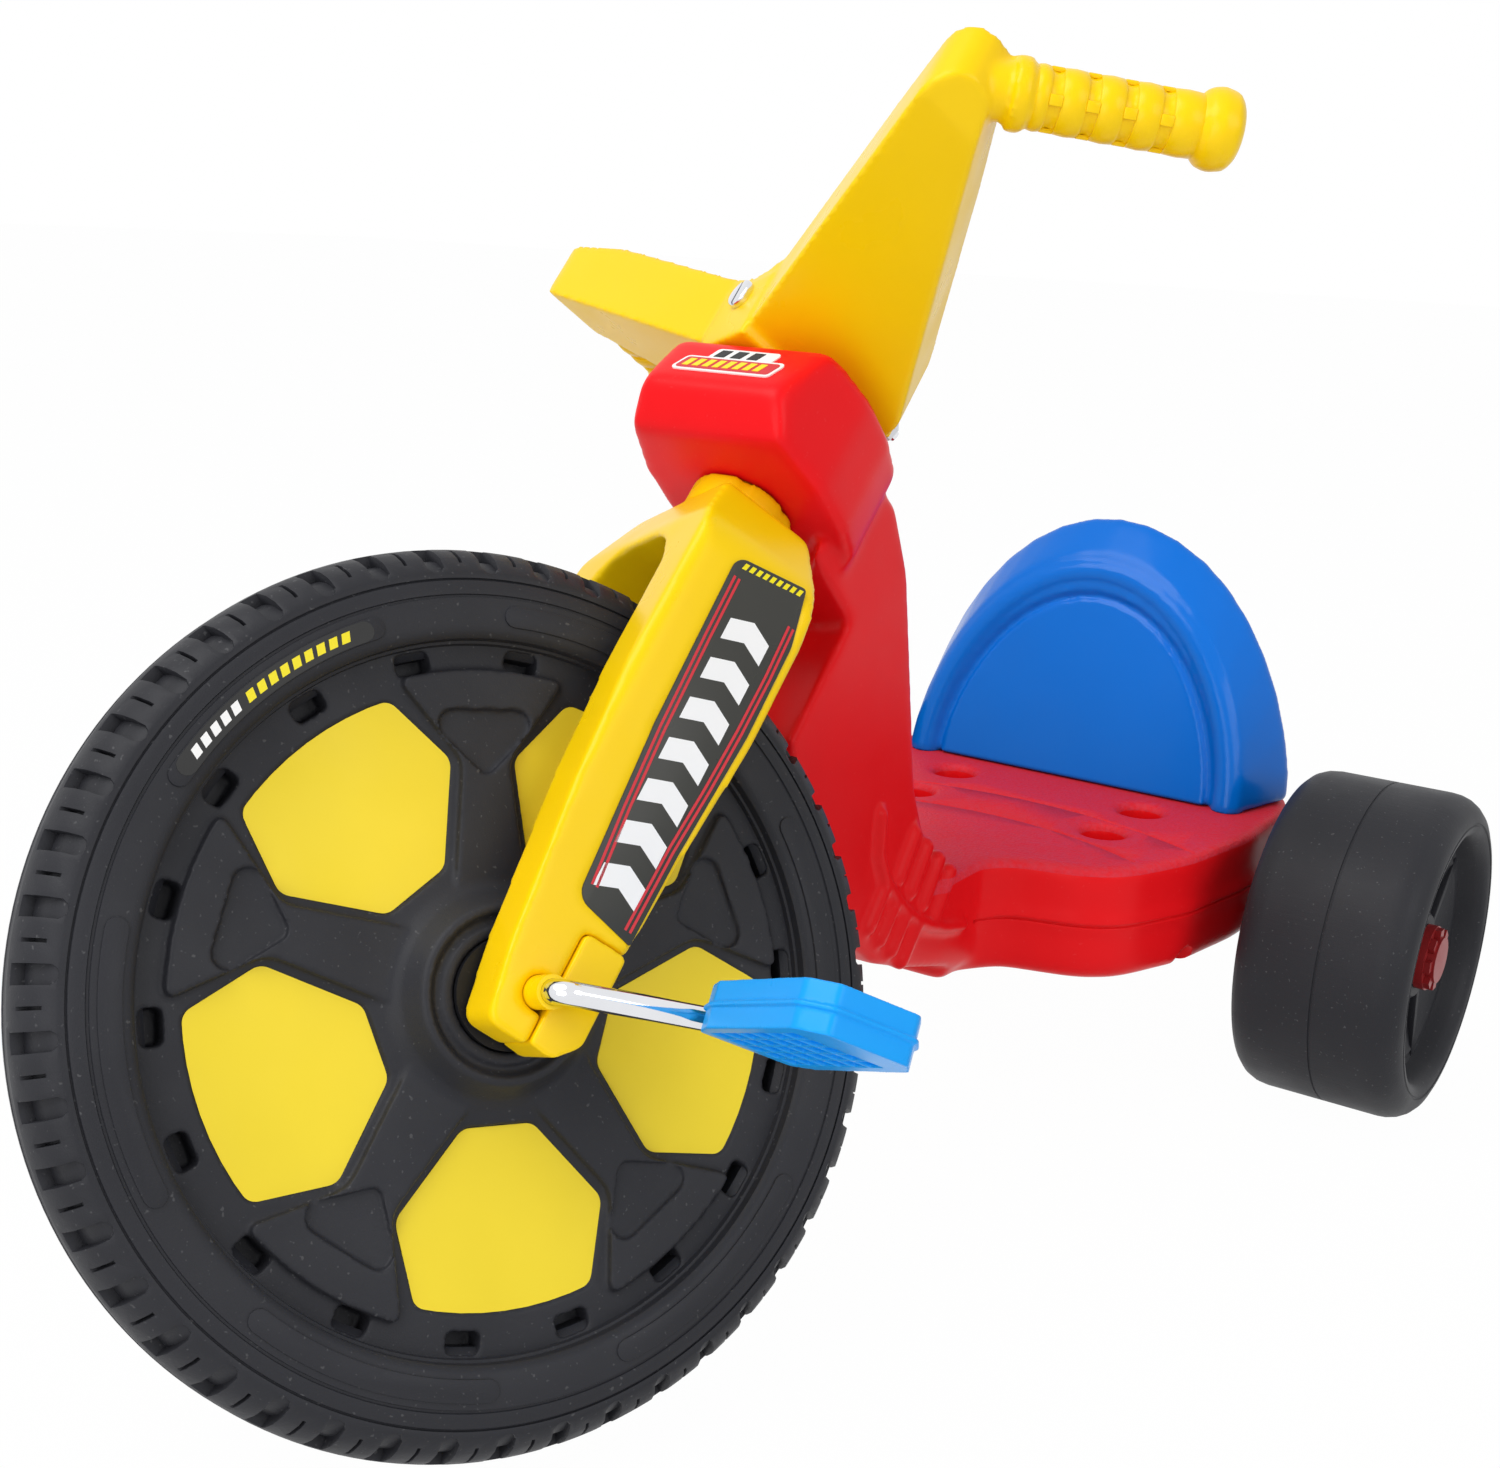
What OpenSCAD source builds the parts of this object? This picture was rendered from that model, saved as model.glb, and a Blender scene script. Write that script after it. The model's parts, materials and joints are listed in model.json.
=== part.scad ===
// Low rider tricycle: big moulded front wheel with pedals, raked fork, low seat pan
// and two wide rear wheels. X is the rider's left, -Y is forward, Z is up.
// The model stands on Z = 0, centred on its own bounding box in X and Y.

/* [Layout] */
// Distance from the front axle to the rear axle, steering straight
wheelbase = 610; // [580:5:660]
// Lean of the steering axis from the vertical, degrees
rake = 44; // [40:0.5:48]
// Steering angle that the model is drawn at, degrees, minus is to the rider's right
rest_steer = -32; // [-40:1:0]
// Distance from the steering axis forward to the front axle
axle_lead = 4; // [0:0.5:8]

/* [Front wheel] */
// Radius over the tread
wheel_r = 203; // [195:1:215]
// Width over the tyre walls
wheel_w = 64; // [58:1:70]
// Thickness of the moulded wall
wheel_wall = 2.5; // [2:0.5:4]
// Number of tread blocks round each shoulder
tread_blocks = 46; // [30:2:60]
// Depth of the gaps between the tread blocks
tread_depth = 6; // [3:0.5:8]
// Half the width between the two disc faces
disc_half = 20; // [17:0.5:22]
// Number of vent slots in each face
vent_count = 18; // [12:1:20]
// Number of spokes moulded on each face
spoke_count = 5; // [3:1:6]
// Outer radius of the coloured panels between the spokes
panel_r = 138; // [130:1:140]
// Thickness of the coloured panels
panel_t = 0.8; // [0.5:0.1:1.2]
// Width over the two hub ends
hub_w = 80; // [76:1:82]
// Radius of the hub bush
bush_r = 25; // [22:0.5:27]

/* [Crank and pedals] */
// Radius of the steel crank rod
rod_r = 5.5; // [5:0.25:6]
// Distance from the axle to the pedal pins
crank_r = 87; // [78:1:92]
// Angle of the left crank arm above the square-back line of the fork, degrees
crank_angle = 20; // [0:5:90]
// Distance from the middle of the wheel to the crank arms
arm_x = 92; // [90:0.5:98]
// Length of a pedal along its pin
pedal_len = 94; // [86:1:98]
// Width of a pedal from front to back
pedal_w = 57; // [50:1:62]
// Thickness of a pedal
pedal_t = 21; // [19:1:24]
// Tilt of the pedals from square to the fork, degrees
pedal_tilt = 11; // [-20:1:20]

/* [Fork] */
// Width over the two fork legs
fork_w = 144; // [140:1:150]
// Clear width between the two fork legs
fork_gap = 85; // [84:0.5:88]
// Distance from the axle to the front edge of the upper leg
leg_front = 35; // [30:1:38]
// Distance from the axle to the rear edge of the upper leg
leg_rear = 37; // [30:1:38]
// Height of the crown top above the axle, along the steering axis
crown_top = 268; // [262:1:272]
// Radius of the collar on the crown
collar_r = 27; // [24:0.5:30]
// Radius of the steering stem inside the head
stem_r = 19; // [16:0.5:21]
// Thickness of the crank sleeves
sleeve_t = 1.8; // [1.5:0.1:2.5]

/* [Handlebar] */
// Turn of the bar on its stem, degrees, a little off square as in the photograph
bar_turn = 5; // [-5:0.5:6]
// Distance from the middle to the wing tips
wing_span = 183; // [165:1:200]
// Thickness of a wing at its tip
wing_t = 27; // [23:1:30]
// Upward slope of the wings' underside, degrees
wing_lift = 19; // [17:0.5:21]
// Radius of the grips
grip_r = 13; // [12:0.25:14]
// Length of a grip from its flange to its end
grip_len = 104; // [95:1:115]

/* [Body] */
// Height of the seat pan's top
pan_h = 167; // [150:1:180]
// Depth of the seat pan
pan_t = 75; // [70:1:85]
// Width of the seat pan
pan_w = 302; // [280:2:310]
// Width of the neck
neck_w = 80; // [70:1:86]
// Thickness of the moulded body's wall
body_wall = 3; // [2.5:0.5:4]
// Radius of the seat peg holes
peg_hole_r = 14.5; // [12:0.5:16]
// Distance between the rows of peg holes
peg_pitch = 61; // [58:1:64]
// Width between the two peg holes of a row
peg_gauge = 142; // [130:2:150]
// Rows of peg holes
peg_rows = 3; // [3:1:3]

/* [Seat back] */
// Height of the seat back above the pan
seat_h = 180; // [165:1:195]
// Width of the seat back at its foot
seat_w = 284; // [270:2:290]
// Depth of the seat back from front to back
seat_d = 60; // [54:1:66]
// Radius of the seat pegs
peg_r = 13.5; // [11:0.5:15]

/* [Rear wheels] */
// Radius of the rear wheels
rear_r = 106; // [98:1:112]
// Distance from the middle to the inner edge of a rear tread
rear_in = 174; // [170:1:178]
// Width of a rear wheel
rear_w = 106; // [98:1:110]
// Radius of the rear axle
axle_r = 5; // [4.5:0.25:6]
// Width over the two hub caps
cap_w = 550; // [546:1:560]

/* [Hidden] */

// Clearances: a running fit, a hand fit and the air between neighbours
run = 0.06;
fit = 0.3;
air = 0.5;

// Finish colours
red = "#e8242a";
yellow = "#f6cd01";
blue = "#0168cd";
black = "#26282c";
steel = "#c9ccd0";

$fn = 96;

// Polygon corners, each [x, y, radius], with arcs in place of the corners
function unit(v) = v / norm(v);
function turn_between(a, b) = (b - a) - 360 * round((b - a) / 360);
function corner(p, q, r, rad, n) =
    let (u = unit(p - q), v = unit(r - q), half = acos(max(-1, min(1, u * v))) / 2)
    rad < 0.01 || half > 88 ? [q] :
    let (c = q + unit(u + v) * rad / sin(half), p1 = q + u * rad / tan(half), p2 = q + v * rad / tan(half),
        a1 = atan2(p1.y - c.y, p1.x - c.x), turn = turn_between(a1, atan2(p2.y - c.y, p2.x - c.x)))
    [for (i = [0:n]) c + rad * [cos(a1 + turn * i / n), sin(a1 + turn * i / n)]];
function flat(p) = [p.x, p.y];
function rounded(pts, n = 6) = [for (i = [0:len(pts) - 1])
    each corner(flat(pts[(i + len(pts) - 1) % len(pts)]), flat(pts[i]), flat(pts[(i + 1) % len(pts)]), pts[i].z, n)];
// A half outline, from front to back on the +X side, closed by its mirror image
function both_sides(pts) =
    concat(pts, [for (i = [len(pts) - 1:-1:0]) if (pts[i].x > 0.01) [-pts[i].x, pts[i].y, pts[i].z]]);
// A closed outline drawn in by a distance, corner by corner
function inset_at(p, q, r, d) =
    let (u = unit(q - p), v = unit(r - q), nu = [-u.y, u.x], nv = [-v.y, v.x], m = unit(nu + nv))
    q + m * d / (m * nu);
function inset(pts, d) = [for (i = [0:len(pts) - 1])
    inset_at(pts[(i + len(pts) - 1) % len(pts)], pts[i], pts[(i + 1) % len(pts)], d)];
// The same for corner points [x, y, radius], before they are rounded
function drawn_in(pts, d) = let (q = inset([for (p = pts) flat(p)], d))
    [for (i = [0:len(pts) - 1]) [q[i].x, q[i].y, pts[i].z < 0.01 ? 0 : max(pts[i].z - abs(d), 0.6)]];

// The front wheel leans when it is steered, so the frame pitches until all three wheels touch the ground
lead_step = axle_lead * ([0, cos(rake), -sin(rake)]
    - [-sin(rest_steer), cos(rest_steer) * cos(rake), -cos(rest_steer) * sin(rake)]);
axle_dir = [cos(rest_steer), sin(rest_steer) * cos(rake), -sin(rest_steer) * sin(rake)];
rear_drop = wheel_r - rear_r;
tread_half = 16;
crown = [[wheel_r, 0], [wheel_r, 5], [wheel_r - 1.2, 11], [wheel_r - 4, tread_half + 2], [wheel_r - 8, tread_half + 8],
    [wheel_r - 15, wheel_w / 2 - 3], [wheel_r - 18.5, wheel_w / 2 - 3.8]];
function reach(n) = max([for (c = crown) c.x * sqrt(1 - n * n) + c.y * abs(n)]);
function pitched(v, p) = [v.x, v.y * cos(p) - v.z * sin(p), v.y * sin(p) + v.z * cos(p)];
function pitch_step(p, n) = n == 0 ? p : pitch_step(asin((rear_r - reach(pitched(axle_dir, p).z)
    + (rear_drop + lead_step.z) * cos(p)) / (wheelbase - lead_step.y)), n - 1);
pitch = pitch_step(0, 6);
rear_centre = pitched([0, wheelbase, -rear_drop], pitch);
front_centre = pitched(lead_step, pitch);
shift_z = rear_r - rear_centre.z;
front_end = front_centre.y - reach(pitched(axle_dir, pitch).y);
shift_y = -(front_end + rear_centre.y + rear_r) / 2;
pan_z = pan_h - wheel_r;

// Frame of the body: origin at the front wheel's middle when it is steered straight
module trike() {
    translate([0, shift_y, shift_z]) rotate([pitch, 0, 0]) children();
}
// Frame of the steered parts: Z up the steering axis, X along the axle to the left
module steered() {
    trike() translate([0, axle_lead * cos(rake), -axle_lead * sin(rake)])
        rotate([-rake, 0, 0]) rotate([0, 0, rest_steer]) children();
}
// The same, with its origin on the front axle
module at_axle() {
    steered() translate([0, -axle_lead, 0]) children();
}
// Z along the front axle, to the left, for turned shapes
module along_axle() {
    at_axle() rotate([0, 90, 0]) children();
}
module each_side() {
    children();
    mirror([1, 0, 0]) children();
}
module side_of(s) {
    mirror([s < 0 ? 1 : 0, 0, 0]) children();
}

// Front wheel
hub_half = hub_w / 2;
wall_x = wheel_w / 2;
web_x = disc_half + 3;
vent_r = 150;
vent_size = [10, 15];
core_r = wheel_r - tread_depth;
phase = 32.6;
vent_phase = 4.8;
side_profile = [[bush_r, hub_half], [37, hub_half], [39, hub_half - 2], [48, web_x + 6], [55, web_x + 1.5], [60, web_x],
    [141, web_x], [143, web_x + 2], [156, web_x + 2.5], [158, wall_x - 2.5], [161, wall_x - 0.6], [172, wall_x],
    [core_r - 16, wall_x - 0.8], [core_r - 8, wall_x - 4.5], [core_r - 2.5, tread_half + 3], [core_r, 8]];
function whole_profile(side) = concat(side, [for (i = [len(side) - 1:-1:0]) [side[i].x, -side[i].y]]);
wheel_outline = whole_profile(side_profile);
function polar(r, a) = r * [cos(a), sin(a)];
// Outline of one panel between the spokes, drawn in by a gap
function window_outline(gap) = rounded([
    each [for (a = [-17.6:4.4:17.6]) [each polar(panel_r - gap, a), abs(a) > 17 ? 7 : 0]],
    [each polar(panel_r * 0.77 - gap, 28 - gap / 2), 8], [each polar(panel_r * 0.43 + gap, 16.8 - gap), 8],
    [each polar(panel_r * 0.43 + gap, -16.8 + gap), 8], [each polar(panel_r * 0.77 - gap, -28 + gap / 2), 8]]);
pad_outline = rounded([[each polar(133, 36 - 16.5), 8], [each polar(133, 36 + 16.5), 8], [each polar(92, 36), 6]]);

module at_panels() {
    for (i = [0:spoke_count - 1]) rotate([0, 0, phase + i * 360 / spoke_count]) children();
}
module tread_teeth(shift) {
    pitch_a = 360 / tread_blocks;
    teeth = [for (i = [0:tread_blocks - 1]) each [
        polar(core_r - 12, (i + shift) * pitch_a - pitch_a * 0.36), polar(wheel_r + 3, (i + shift) * pitch_a - pitch_a * 0.33),
        polar(wheel_r + 3, (i + shift) * pitch_a + pitch_a * 0.33), polar(core_r - 12, (i + shift) * pitch_a + pitch_a * 0.36)]];
    polygon(teeth);
}
// Foot of the lugs, sunk into the wall of the tyre
lug_root = [[core_r - 9.1, wall_x - 5.2], [core_r - 3.7, tread_half + 2.5], [core_r - 1.3, 8], [core_r - 1.3, 0]];
module tread_side(shift) {
    intersection() {
        rotate_extrude() polygon(concat(crown, lug_root));
        linear_extrude(wall_x) tread_teeth(shift);
    }
}
module wheel_side() {
    // Ring that backs the web and the window pockets
    rotate_extrude() translate([45, disc_half - wheel_wall]) square([100, web_x - disc_half + wheel_wall - 1]);
    // Raised triangles on the spoke flares
    at_panels() translate([0, 0, web_x - 0.1]) linear_extrude(1.1) polygon(pad_outline);
}
module wheel_side_cuts() {
    at_panels() translate([0, 0, disc_half]) linear_extrude(20) polygon(window_outline(0));
    for (i = [0:vent_count - 1]) rotate([0, 0, vent_phase + i * 360 / vent_count])
        translate([vent_r - vent_size.x / 2, -vent_size.y / 2, disc_half - wheel_wall - 1])
            cube([vent_size.x, vent_size.y, 30]);
    rotate_extrude() translate([30, hub_half - wheel_wall / 2]) square([4, 5]);
}
module front_wheel() {
    color(black) along_axle() {
        difference() {
            union() {
                difference() {
                    rotate_extrude() polygon(wheel_outline);
                    rotate_extrude() polygon(inset(wheel_outline, -wheel_wall));
                }
                rotate_extrude() translate([core_r - wheel_wall, -5]) square([wheel_r - core_r + wheel_wall, 10]);
                wheel_side();
                mirror([0, 0, 1]) wheel_side();
                tread_side(0);
                mirror([0, 0, 1]) tread_side(0.5);
            }
            wheel_side_cuts();
            mirror([0, 0, 1]) wheel_side_cuts();
        }
    }
}
module disc_panels(s) {
    color(yellow) along_axle() mirror([0, 0, s < 0 ? 1 : 0]) at_panels()
        translate([0, 0, disc_half]) linear_extrude(panel_t) polygon(window_outline(0.6));
}
module hub_bush(s) {
    color(black) at_axle() side_of(s) rotate([0, 90, 0]) difference() {
        translate([0, 0, hub_half - 22]) cylinder(r = bush_r - run, h = 22.5);
        translate([0, 0, hub_half - 23]) cylinder(r = rod_r + run, h = 25);
        // Saw cut that lets the bush close on the rod
        translate([-0.4, rod_r - 2, hub_half - 23]) cube([0.8, bush_r, 25]);
    }
}

// Crank, pedals and what holds them
bend_r = 7;
pedal_lip = 1.5;
pedal_x = arm_x + bend_r + pedal_lip + 0.7;
// The pin stops inside the pedal, where its cap turns in a blind pocket
pin_end = pedal_x + pedal_len - 9;
pin_cap_r = rod_r + 1.8;
module crank_half() {
    rotate([0, 90, 0]) cylinder(r = rod_r, h = arm_x - bend_r);
    translate([arm_x - bend_r, bend_r, 0]) rotate([0, 0, -90])
        rotate_extrude(angle = 90) translate([bend_r, 0]) circle(r = rod_r);
    translate([arm_x, bend_r, 0]) rotate([-90, 0, 0]) cylinder(r = rod_r, h = crank_r - 2 * bend_r);
    translate([arm_x + bend_r, crank_r - bend_r, 0]) rotate([0, 0, 90])
        rotate_extrude(angle = 90) translate([bend_r, 0]) circle(r = rod_r);
    translate([arm_x + bend_r, crank_r, 0]) rotate([0, 90, 0]) cylinder(r = rod_r, h = pin_end - arm_x - bend_r);
}
module at_crank() {
    at_axle() rotate([crank_angle, 0, 0]) children();
}
module at_pin(s) {
    at_crank() rotate([0, 0, s < 0 ? 180 : 0]) translate([0, crank_r, 0]) children();
}
module crank() {
    color(steel) at_crank() {
        crank_half();
        rotate([0, 0, 180]) crank_half();
    }
}
module pin_cap(s) {
    color(steel) at_pin(s) translate([pin_end - 4.5, 0, 0]) rotate([0, 90, 0]) difference() {
        cylinder(r = pin_cap_r, h = 5.5);
        translate([0, 0, -1]) cylinder(r = rod_r + run / 2, h = 5.5);
    }
}
pedal_outline = rounded([[0, -pedal_w / 2 + 5, 3], [14, -pedal_w / 2, 6], [pedal_len - 12, -pedal_w / 2, 8],
    [pedal_len, -pedal_w / 2 + 9, 4], [pedal_len, pedal_w / 2 - 9, 4], [pedal_len - 12, pedal_w / 2, 8],
    [14, pedal_w / 2, 6], [0, pedal_w / 2 - 5, 3]]);
rib_gap = 9;
cell_pitch = (pedal_len - 26) / 6;
module pedal(s) {
    color(blue) at_pin(s) rotate([(s < 0 ? 180 - crank_angle : -crank_angle) + (s < 0 ? -pedal_tilt : pedal_tilt), 0, 0])
        translate([pedal_x, 0, 0]) difference() {
            union() {
                translate([0, 0, -pedal_t / 2]) linear_extrude(pedal_t) polygon(pedal_outline);
                translate([0, 0, -1]) linear_extrude(2) polygon(inset(pedal_outline, -pedal_lip));
            }
            // Cells between the ribs of the tread, above and below the pin tube
            for (u = [0, 1], i = [0:5], j = [-2:2]) mirror([0, 0, u])
                translate([7 + i * cell_pitch, j * rib_gap - rib_gap / 2 + 0.8, rod_r + 2])
                    cube([cell_pitch - 2, rib_gap - 1.6, pedal_t]);
            rotate([0, 90, 0]) translate([0, 0, -2 * pedal_lip])
                cylinder(r = rod_r + run, h = pin_end - pedal_x + 2 * pedal_lip);
            rotate([0, 90, 0]) translate([0, 0, pin_end - pedal_x - 5.5]) cylinder(r = pin_cap_r + 1, h = 7.5);
        }
}

// Fork
leg_half = fork_w / 2;
gap_half = fork_gap / 2;
sleeve_r = rod_r + run + sleeve_t;
keeper_front = 6;
leg_wall = 3.5;
keeper_top = 33;
toe = -22;
leg_side = [[-15, toe, 7], [-22, 12, 40], [-leg_front + 4, 89, 60], [-leg_front, 150, 60], [-leg_front, 236, 14],
    [-24, crown_top, 8], [27, crown_top, 8], [31, 240, 14], [leg_rear, 205, 30], [leg_rear, 150, 60], [31, 85, 60],
    [28, keeper_top + 2, 3], [28, toe + 12, 10], [17, toe, 8]];
fork_front = both_sides([[gap_half, toe - 5, 0], [leg_half, toe - 5, 0], [leg_half, 228, 34],
    [42, crown_top, 16], [0, crown_top + 0.01, 0]]);
fork_gap_outline = [[-gap_half, toe - 9, 0], [gap_half, toe - 9, 0], [gap_half, 232, 30], [-gap_half, 232, 30]];
fork_plan = [[-leg_half, -40, 13], [leg_half, -40, 13], [leg_half, 40, 8], [-leg_half, 40, 8]];
stem_top = 384;
head_low = 284;
bolt_z = 376;
bolt_r = 3;
module fork_body(d, low) {
    intersection() {
        translate([0, 50, 0]) rotate([90, 0, 0]) linear_extrude(100) difference() {
            polygon(rounded(drawn_in(fork_front, d)));
            polygon(rounded(drawn_in(fork_gap_outline, -d)));
        }
        translate([-leg_half - 1, 0, 0]) rotate([90, 0, 90]) linear_extrude(fork_w + 2)
            polygon(rounded(drawn_in(leg_side, -d)));
        translate([0, 0, low]) linear_extrude(crown_top - low + 10) polygon(rounded(drawn_in(fork_plan, d)));
    }
}
module side_panel_outline(gap) {
    polygon(rounded([[-5 - gap, 44 - gap, 8], [27 + gap, 38 - gap, 1], [28 + gap, 85, 30], [32 + gap, 150, 40],
        [31.5 + gap, 200, 30], [25 + gap, 229 + gap, 2], [-13 - gap, 221 + gap, 7], [-11 - gap, 130, 30]]));
}
module fork() {
    color(yellow) difference() {
        union() {
            difference() {
                at_axle() fork_body(0, toe - 5);
                at_axle() fork_body(leg_wall, keeper_top + leg_wall);
            }
            steered() translate([0, 0, crown_top - 8]) cylinder(r = collar_r, h = head_low - crown_top + 8 - air);
            steered() translate([0, 0, crown_top]) cylinder(r = stem_r, h = stem_top - crown_top);
        }
        at_axle() {
            rotate([0, 90, 0]) translate([0, 0, -leg_half - 1]) cylinder(r = sleeve_r + 0.03, h = fork_w + 2);
            each_side() {
                // Pocket of the keeper and the slot that the sleeve enters by
                translate([gap_half - 1, keeper_front, toe - 1]) cube([leg_half, 40, keeper_top - toe + 1]);
                translate([gap_half - 1, 0, -sleeve_r]) cube([leg_half, 10, 2 * sleeve_r]);
                // Bed of the side panel
                translate([leg_half - 1, 0, 0]) rotate([90, 0, 90]) linear_extrude(3) side_panel_outline(0.3);
            }
        }
        steered() rotate([0, 0, bar_turn]) translate([0, 60, bolt_z]) rotate([90, 0, 0]) cylinder(r = bolt_r + run, h = 120);
        // Moulding notches beside the collar
        steered() for (a = [-62, 62, 118, -118]) rotate([0, 0, a]) translate([-2.5, collar_r - 2, crown_top + 2])
            cube([5, 5, 20]);
    }
}
keeper_side = rounded([[keeper_front + 0.2, toe + 1, 2], [18, toe, 7], [28, toe + 11, 9], [28, keeper_top - 0.4, 3],
    [keeper_front + 0.2, keeper_top - 0.4, 3]]);
module keeper(s) {
    color(yellow) at_axle() side_of(s) difference() {
        translate([gap_half + 0.5, 0, 0]) rotate([90, 0, 90]) linear_extrude(leg_half - gap_half + 1) polygon(keeper_side);
        rotate([0, 90, 0]) cylinder(r = sleeve_r + 0.03, h = leg_half + 10);
    }
}
module crank_sleeve(s) {
    color(yellow) at_axle() side_of(s) rotate([0, 90, 0]) translate([0, 0, hub_half + 1]) difference() {
        cylinder(r = sleeve_r, h = arm_x - bend_r - hub_half - 1.5);
        translate([0, 0, -1]) cylinder(r = rod_r + run, h = arm_x);
    }
}
module side_panel(s) {
    color(black) at_axle() side_of(s) translate([leg_half - 1, 0, 0]) rotate([90, 0, 90])
        linear_extrude(0.8) side_panel_outline(0);
}

// Handlebar
hub_low = 346.5;
hub_r = 30;
bar_top = stem_top + 2;
wing_low = 346;
bar_wall = 3;
lug_front = 55;
lug_rear = 50;
tip_at = [175, -61, 429];
grip_dir = unit([44, 72, 27]);
wing_plan = both_sides([[22, -54, 8], [wing_span + 2, -101, 15], [wing_span - 4, -69, 8], [34, 40, 16],
    [0, 46, 0]]);
function under(x) = wing_low + tan(wing_lift) * x;
wing_end = under(wing_span - 18) + 15;
wing_front = [[0, wing_low, 20], [wing_span - 18, under(wing_span - 18), 12], [wing_span + 3, wing_end, 8],
    [wing_span + 5, wing_end + wing_t - 2, 9], [122, under(122) + 43, 90], [28, under(28) + 43, 30],
    [0, under(0) + 44, 0], [-28, under(28) + 43, 30], [-122, under(122) + 43, 90],
    [-wing_span - 5, wing_end + wing_t - 2, 9], [-wing_span - 3, wing_end, 8],
    [-wing_span + 18, under(wing_span - 18), 12]];
groove = 16.6;
grip_profile = concat([[0, -14], [grip_r, -14], [grip_r, 0], [grip_r + 3.5, 0], [grip_r + 3.5, 7], [grip_r + 0.5, 9]],
    [for (i = [1:4]) each [[grip_r, i * groove], [grip_r - 1.6, i * groove + 1.2], [grip_r - 1.6, i * groove + 3],
        [grip_r, i * groove + 4.2]]],
    [[grip_r, grip_len - 20], [grip_r + 4, grip_len - 17], [grip_r + 5.5, grip_len - 11], [grip_r + 4, grip_len - 4],
        [grip_r, grip_len - 1], [grip_r - 4, grip_len], [0, grip_len]]);
module on_bar() {
    steered() rotate([0, 0, bar_turn]) children();
}
module wings(d) {
    intersection() {
        translate([0, 0, hub_low - 20]) linear_extrude(180) polygon(rounded(drawn_in(wing_plan, d)));
        rotate([90, 0, 0]) translate([0, 0, -150]) linear_extrude(300) polygon(rounded(drawn_in(wing_front, d)));
    }
}
module handlebar() {
    color(yellow) on_bar() {
        difference() {
            union() {
                difference() {
                    wings(0);
                    wings(bar_wall);
                }
                translate([0, 0, hub_low]) cylinder(r = hub_r, h = bar_top - hub_low);
                translate([0, 0, bar_top - 4]) cylinder(r = hub_r - 3, h = 9);
                translate([0, 0, bar_top]) cylinder(r = hub_r - 11, h = 9);
                // Flat lug that the bolt goes through, and the seat of the nut behind
                translate([-20, -lug_front, hub_low]) cube([40, lug_front - 10, bar_top - hub_low]);
                translate([-13, 0, bolt_z - 12]) cube([26, lug_rear, 22]);
                each_side() translate(tip_at) rotate([0, acos(grip_dir.z), atan2(grip_dir.y, grip_dir.x)])
                    rotate_extrude() polygon(grip_profile);
            }
            translate([0, 0, hub_low - 1]) cylinder(r = stem_r + run, h = stem_top + 0.5 - hub_low + 1);
            translate([0, 60, bolt_z]) rotate([90, 0, 0]) cylinder(r = bolt_r + run, h = 120);
        }
    }
}
module bar_bolt() {
    color(steel) on_bar() translate([0, 0, bolt_z]) rotate([-90, 0, 0]) {
        translate([0, 0, -lug_front - 4]) cylinder(r = 8, h = 4);
        translate([0, 0, -lug_front - 0.1]) cylinder(r = bolt_r, h = lug_front + lug_rear + 9.1);
    }
}
module bar_nut() {
    color(steel) on_bar() translate([0, lug_rear, bolt_z]) rotate([-90, 0, 0]) difference() {
        cylinder(r = 6.5, h = 6, $fn = 6);
        translate([0, 0, -1]) cylinder(r = bolt_r + run / 2, h = 8);
    }
}

// Moulded body: head, neck and seat pan in one hollow piece
neck_half = neck_w / 2;
pan_half = pan_w / 2;
rear_y = wheelbase + rear_r - 4;
bead_z = pan_z - 36;
pan_low = pan_z - pan_t;
wheel_room = wheel_r + 11;
fork_room = 84;
// The head is cut flat under the handlebar, out to this radius, so that the bar can turn over it
turn_room = 80;
head_flat = hub_low - 1.5;
head_plan = both_sides([[38, -70, 12], [43, -62, 10], [54, -18, 26], [54, 12, 22], [46, 48, 16]]);
head_side = [[162, 239, 6], [164, 264, 8], [203, 281, 6], [258, 240, 8], [280, 214, 8],
    [290, 196, 20], [306, 150, 40], [290, 120, 0], [212, 190, 0]];
neck_side = [[262, 218, 0], [288, 196, 14], [305, 160, 60], [321, 82, 60], [331, 32, 60], [354, -14, 40],
    [392, pan_z, 0], [wheelbase - 150, pan_z, 0], [wheelbase - 150, pan_low + 3, 0], [400, pan_low + 12, 60],
    [335, -80, 60], [297, -66, 30], [272, -48, 30], [240, -34, 20], [150, 20, 0], [120, 120, 0], [212, 188, 0]];
pan_outline = both_sides([[neck_half - 4, 392, 0], [neck_half - 4, 415, 20], [neck_half + 12, 438, 30],
    [pan_half - 38, 456, 60], [pan_half - 12, 520, 90], [pan_half, 592, 150], [pan_half - 2, 655, 90],
    [pan_half - 14, rear_y - 6, 30], [pan_half - 40, rear_y, 60], [0, rear_y, 0]]);
seat_row = wheelbase - 76 + 2 * peg_pitch;
rows = [for (i = [0:peg_rows - 1]) seat_row - i * peg_pitch];
peg_deep = 32;

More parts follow.
